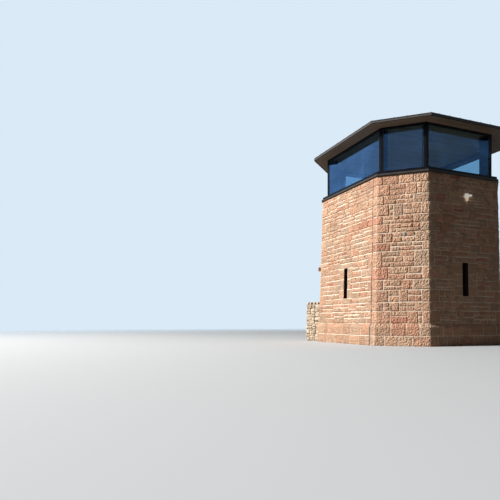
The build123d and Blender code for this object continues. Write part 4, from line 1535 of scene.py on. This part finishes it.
def cope_blocks():
    """Boxes across the wall, with points at three levels, in COPE_CELLS cells on two faces."""
    rng = random.Random(9)
    points, faces, tones, warmths = [], [], [], []
    a = RUBBLE_START + 0.03
    while a < RUBBLE_LONG - 0.04:
        thick = min(rng.uniform(0.07, 0.12), RUBBLE_LONG - 0.01 - a)
        high, lean = rng.uniform(0.10, 0.165), rng.uniform(-0.03, 0.03)
        reach = RUBBLE_HALF - RUBBLE_BATTER + rng.uniform(-0.045, 0.0)
        base = len(points)
        for level, (share, narrow, thin) in enumerate(COPE_LEVELS):
            z = RUBBLE_HIGH + (high * share if level else -0.01)
            for k in range(COPE_CELLS + 1):
                across = k / COPE_CELLS * 2 - 1
                top = z - (0.03 * across ** 2 * rng.uniform(0.3, 1.5) if level == 2 else 0.0)
                for half in (-0.5, 0.5):
                    out = a + thick * (0.5 + half * thin) + lean * level / 2
                    points.append(northwest.off(across * reach * narrow, out, top))
        tones += [rng.random()] * (len(points) - base)
        warmths += [rng.random() * 0.6] * (len(points) - base)
        ring = 2 * (COPE_CELLS + 1)
        for low in (base, base + ring):
            for i in range(low, low + ring - 2):
                faces.append((i, i + 2, i + ring + 2, i + ring))
            for i in (low, low + ring - 2):
                faces.append((i, i + 1, i + ring + 1, i + ring))
        for level in (base, base + 2 * ring):
            faces += [(i, i + 1, i + 3, i + 2) for i in range(level, level + ring - 2, 2)]
        a += thick + rng.uniform(0.045, 0.075)
    return solid_piece("rubble_cope", points, faces, rubble_stone, tone=tones, warmth=warmths)


def cope_bed():
    """The lump of old mortar that the cope stones are set in, coloured nearly black as painted shade between
    them.
    """
    rng, steps, rings = random.Random(15), 14, []
    for k in range(steps + 1):
        out = RUBBLE_START + (RUBBLE_LONG - 0.03 - RUBBLE_START) * k / steps
        rise = rng.uniform(0.060, 0.095)
        hump = [(x, up * rise) for x, up in ((-0.15, 0.6), (-0.05, 1.0), (0.05, 0.96), (0.15, 0.55))]
        profile = [(-0.17, -0.01), *hump, (0.17, -0.01)]
        rings.append([northwest.off(across, out, RUBBLE_HIGH + up) for across, up in profile])
    return loft("cope_bed", rings, cope_bed_shade)


place_piece(cope_bed())
cope_piece = place_piece(grow(cope_blocks(), cope_tree(), rubble_stone))
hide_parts("cope_stones")

# %% [markdown]
# ## Light, floor and backdrop
#
# A large soft lamp stands to the west and slightly behind, so that the west face is fully lit, the
# narrow face gets raking light that shows its relief, and the south face lies in shade. The world
# gives a low even fill. What the camera, mirrors and glass see of the world is brighter than what
# lights the tower, so the backdrop stays pale without adding light.

# %% Stage and light
def backdrop():
    world = bpy.data.worlds.new("pale_backdrop")
    world.use_nodes = True
    world.node_tree.nodes.clear()
    node = Wire(world.node_tree).node
    rays = node("LightPath")
    seen = rays.out("Is Camera Ray").most(rays.out("Is Glossy Ray")).most(rays.out("Is Transmission Ray"))
    fill = node("Background", Color=(0.86, 0.92, 1.0), Strength=0.032)
    pale = node("Background", Color=(0.70, 0.82, 0.93), Strength=1.0)
    node("OutputWorld", Surface=node("MixShader", seen, fill, pale))
    bpy.context.scene.world = world


def soft_lamp(name, azimuth, elevation, distance, size, power, colour, aim=(0.0, 0.0, 3.5)):
    """azimuth: degrees from west towards north."""
    a, e = math.radians(azimuth), math.radians(elevation)
    way = Vector((-math.cos(a) * math.cos(e), math.sin(a) * math.cos(e), math.sin(e)))
    lamp = bpy.data.lights.new(name, "AREA")
    lamp.shape, lamp.size = "DISK", size
    lamp.energy, lamp.color = power, colour
    holder = linked(name, lamp)
    holder.location = Vector(aim) + way * distance
    holder.rotation_euler = (-way).to_track_quat("-Z", "Y").to_euler()


def floor():
    """A round pale floor that fades out far from the tower."""
    work = bmesh.new()
    bmesh.ops.create_circle(work, cap_ends=True, segments=96, radius=120.0)
    f = Finish("pale_floor")
    away = f.node("VectorMath", f.place, operation="LENGTH", out="Value")
    seen = f.node("LightPath", out="Is Camera Ray")
    colour = seen.blend((0.25, 0.225, 0.20), (0.62, 0.66, 0.70))
    matt = f.node("BsdfPrincipled", Base_Color=colour, Roughness=0.9, Specular_IOR_Level=0.1)
    clear = f.node("BsdfTransparent")
    piece = from_work("floor", work, f.end(f.node("MixShader", away.ramp(14.0, 46.0), matt, clear)))


backdrop()
soft_lamp("key", 6.5, 30.0, 60.0, 4.6, 54500.0, (1.0, 0.95, 0.89))
floor()
bpy.context.scene.view_settings.view_transform = "Standard"
print("stage ready")
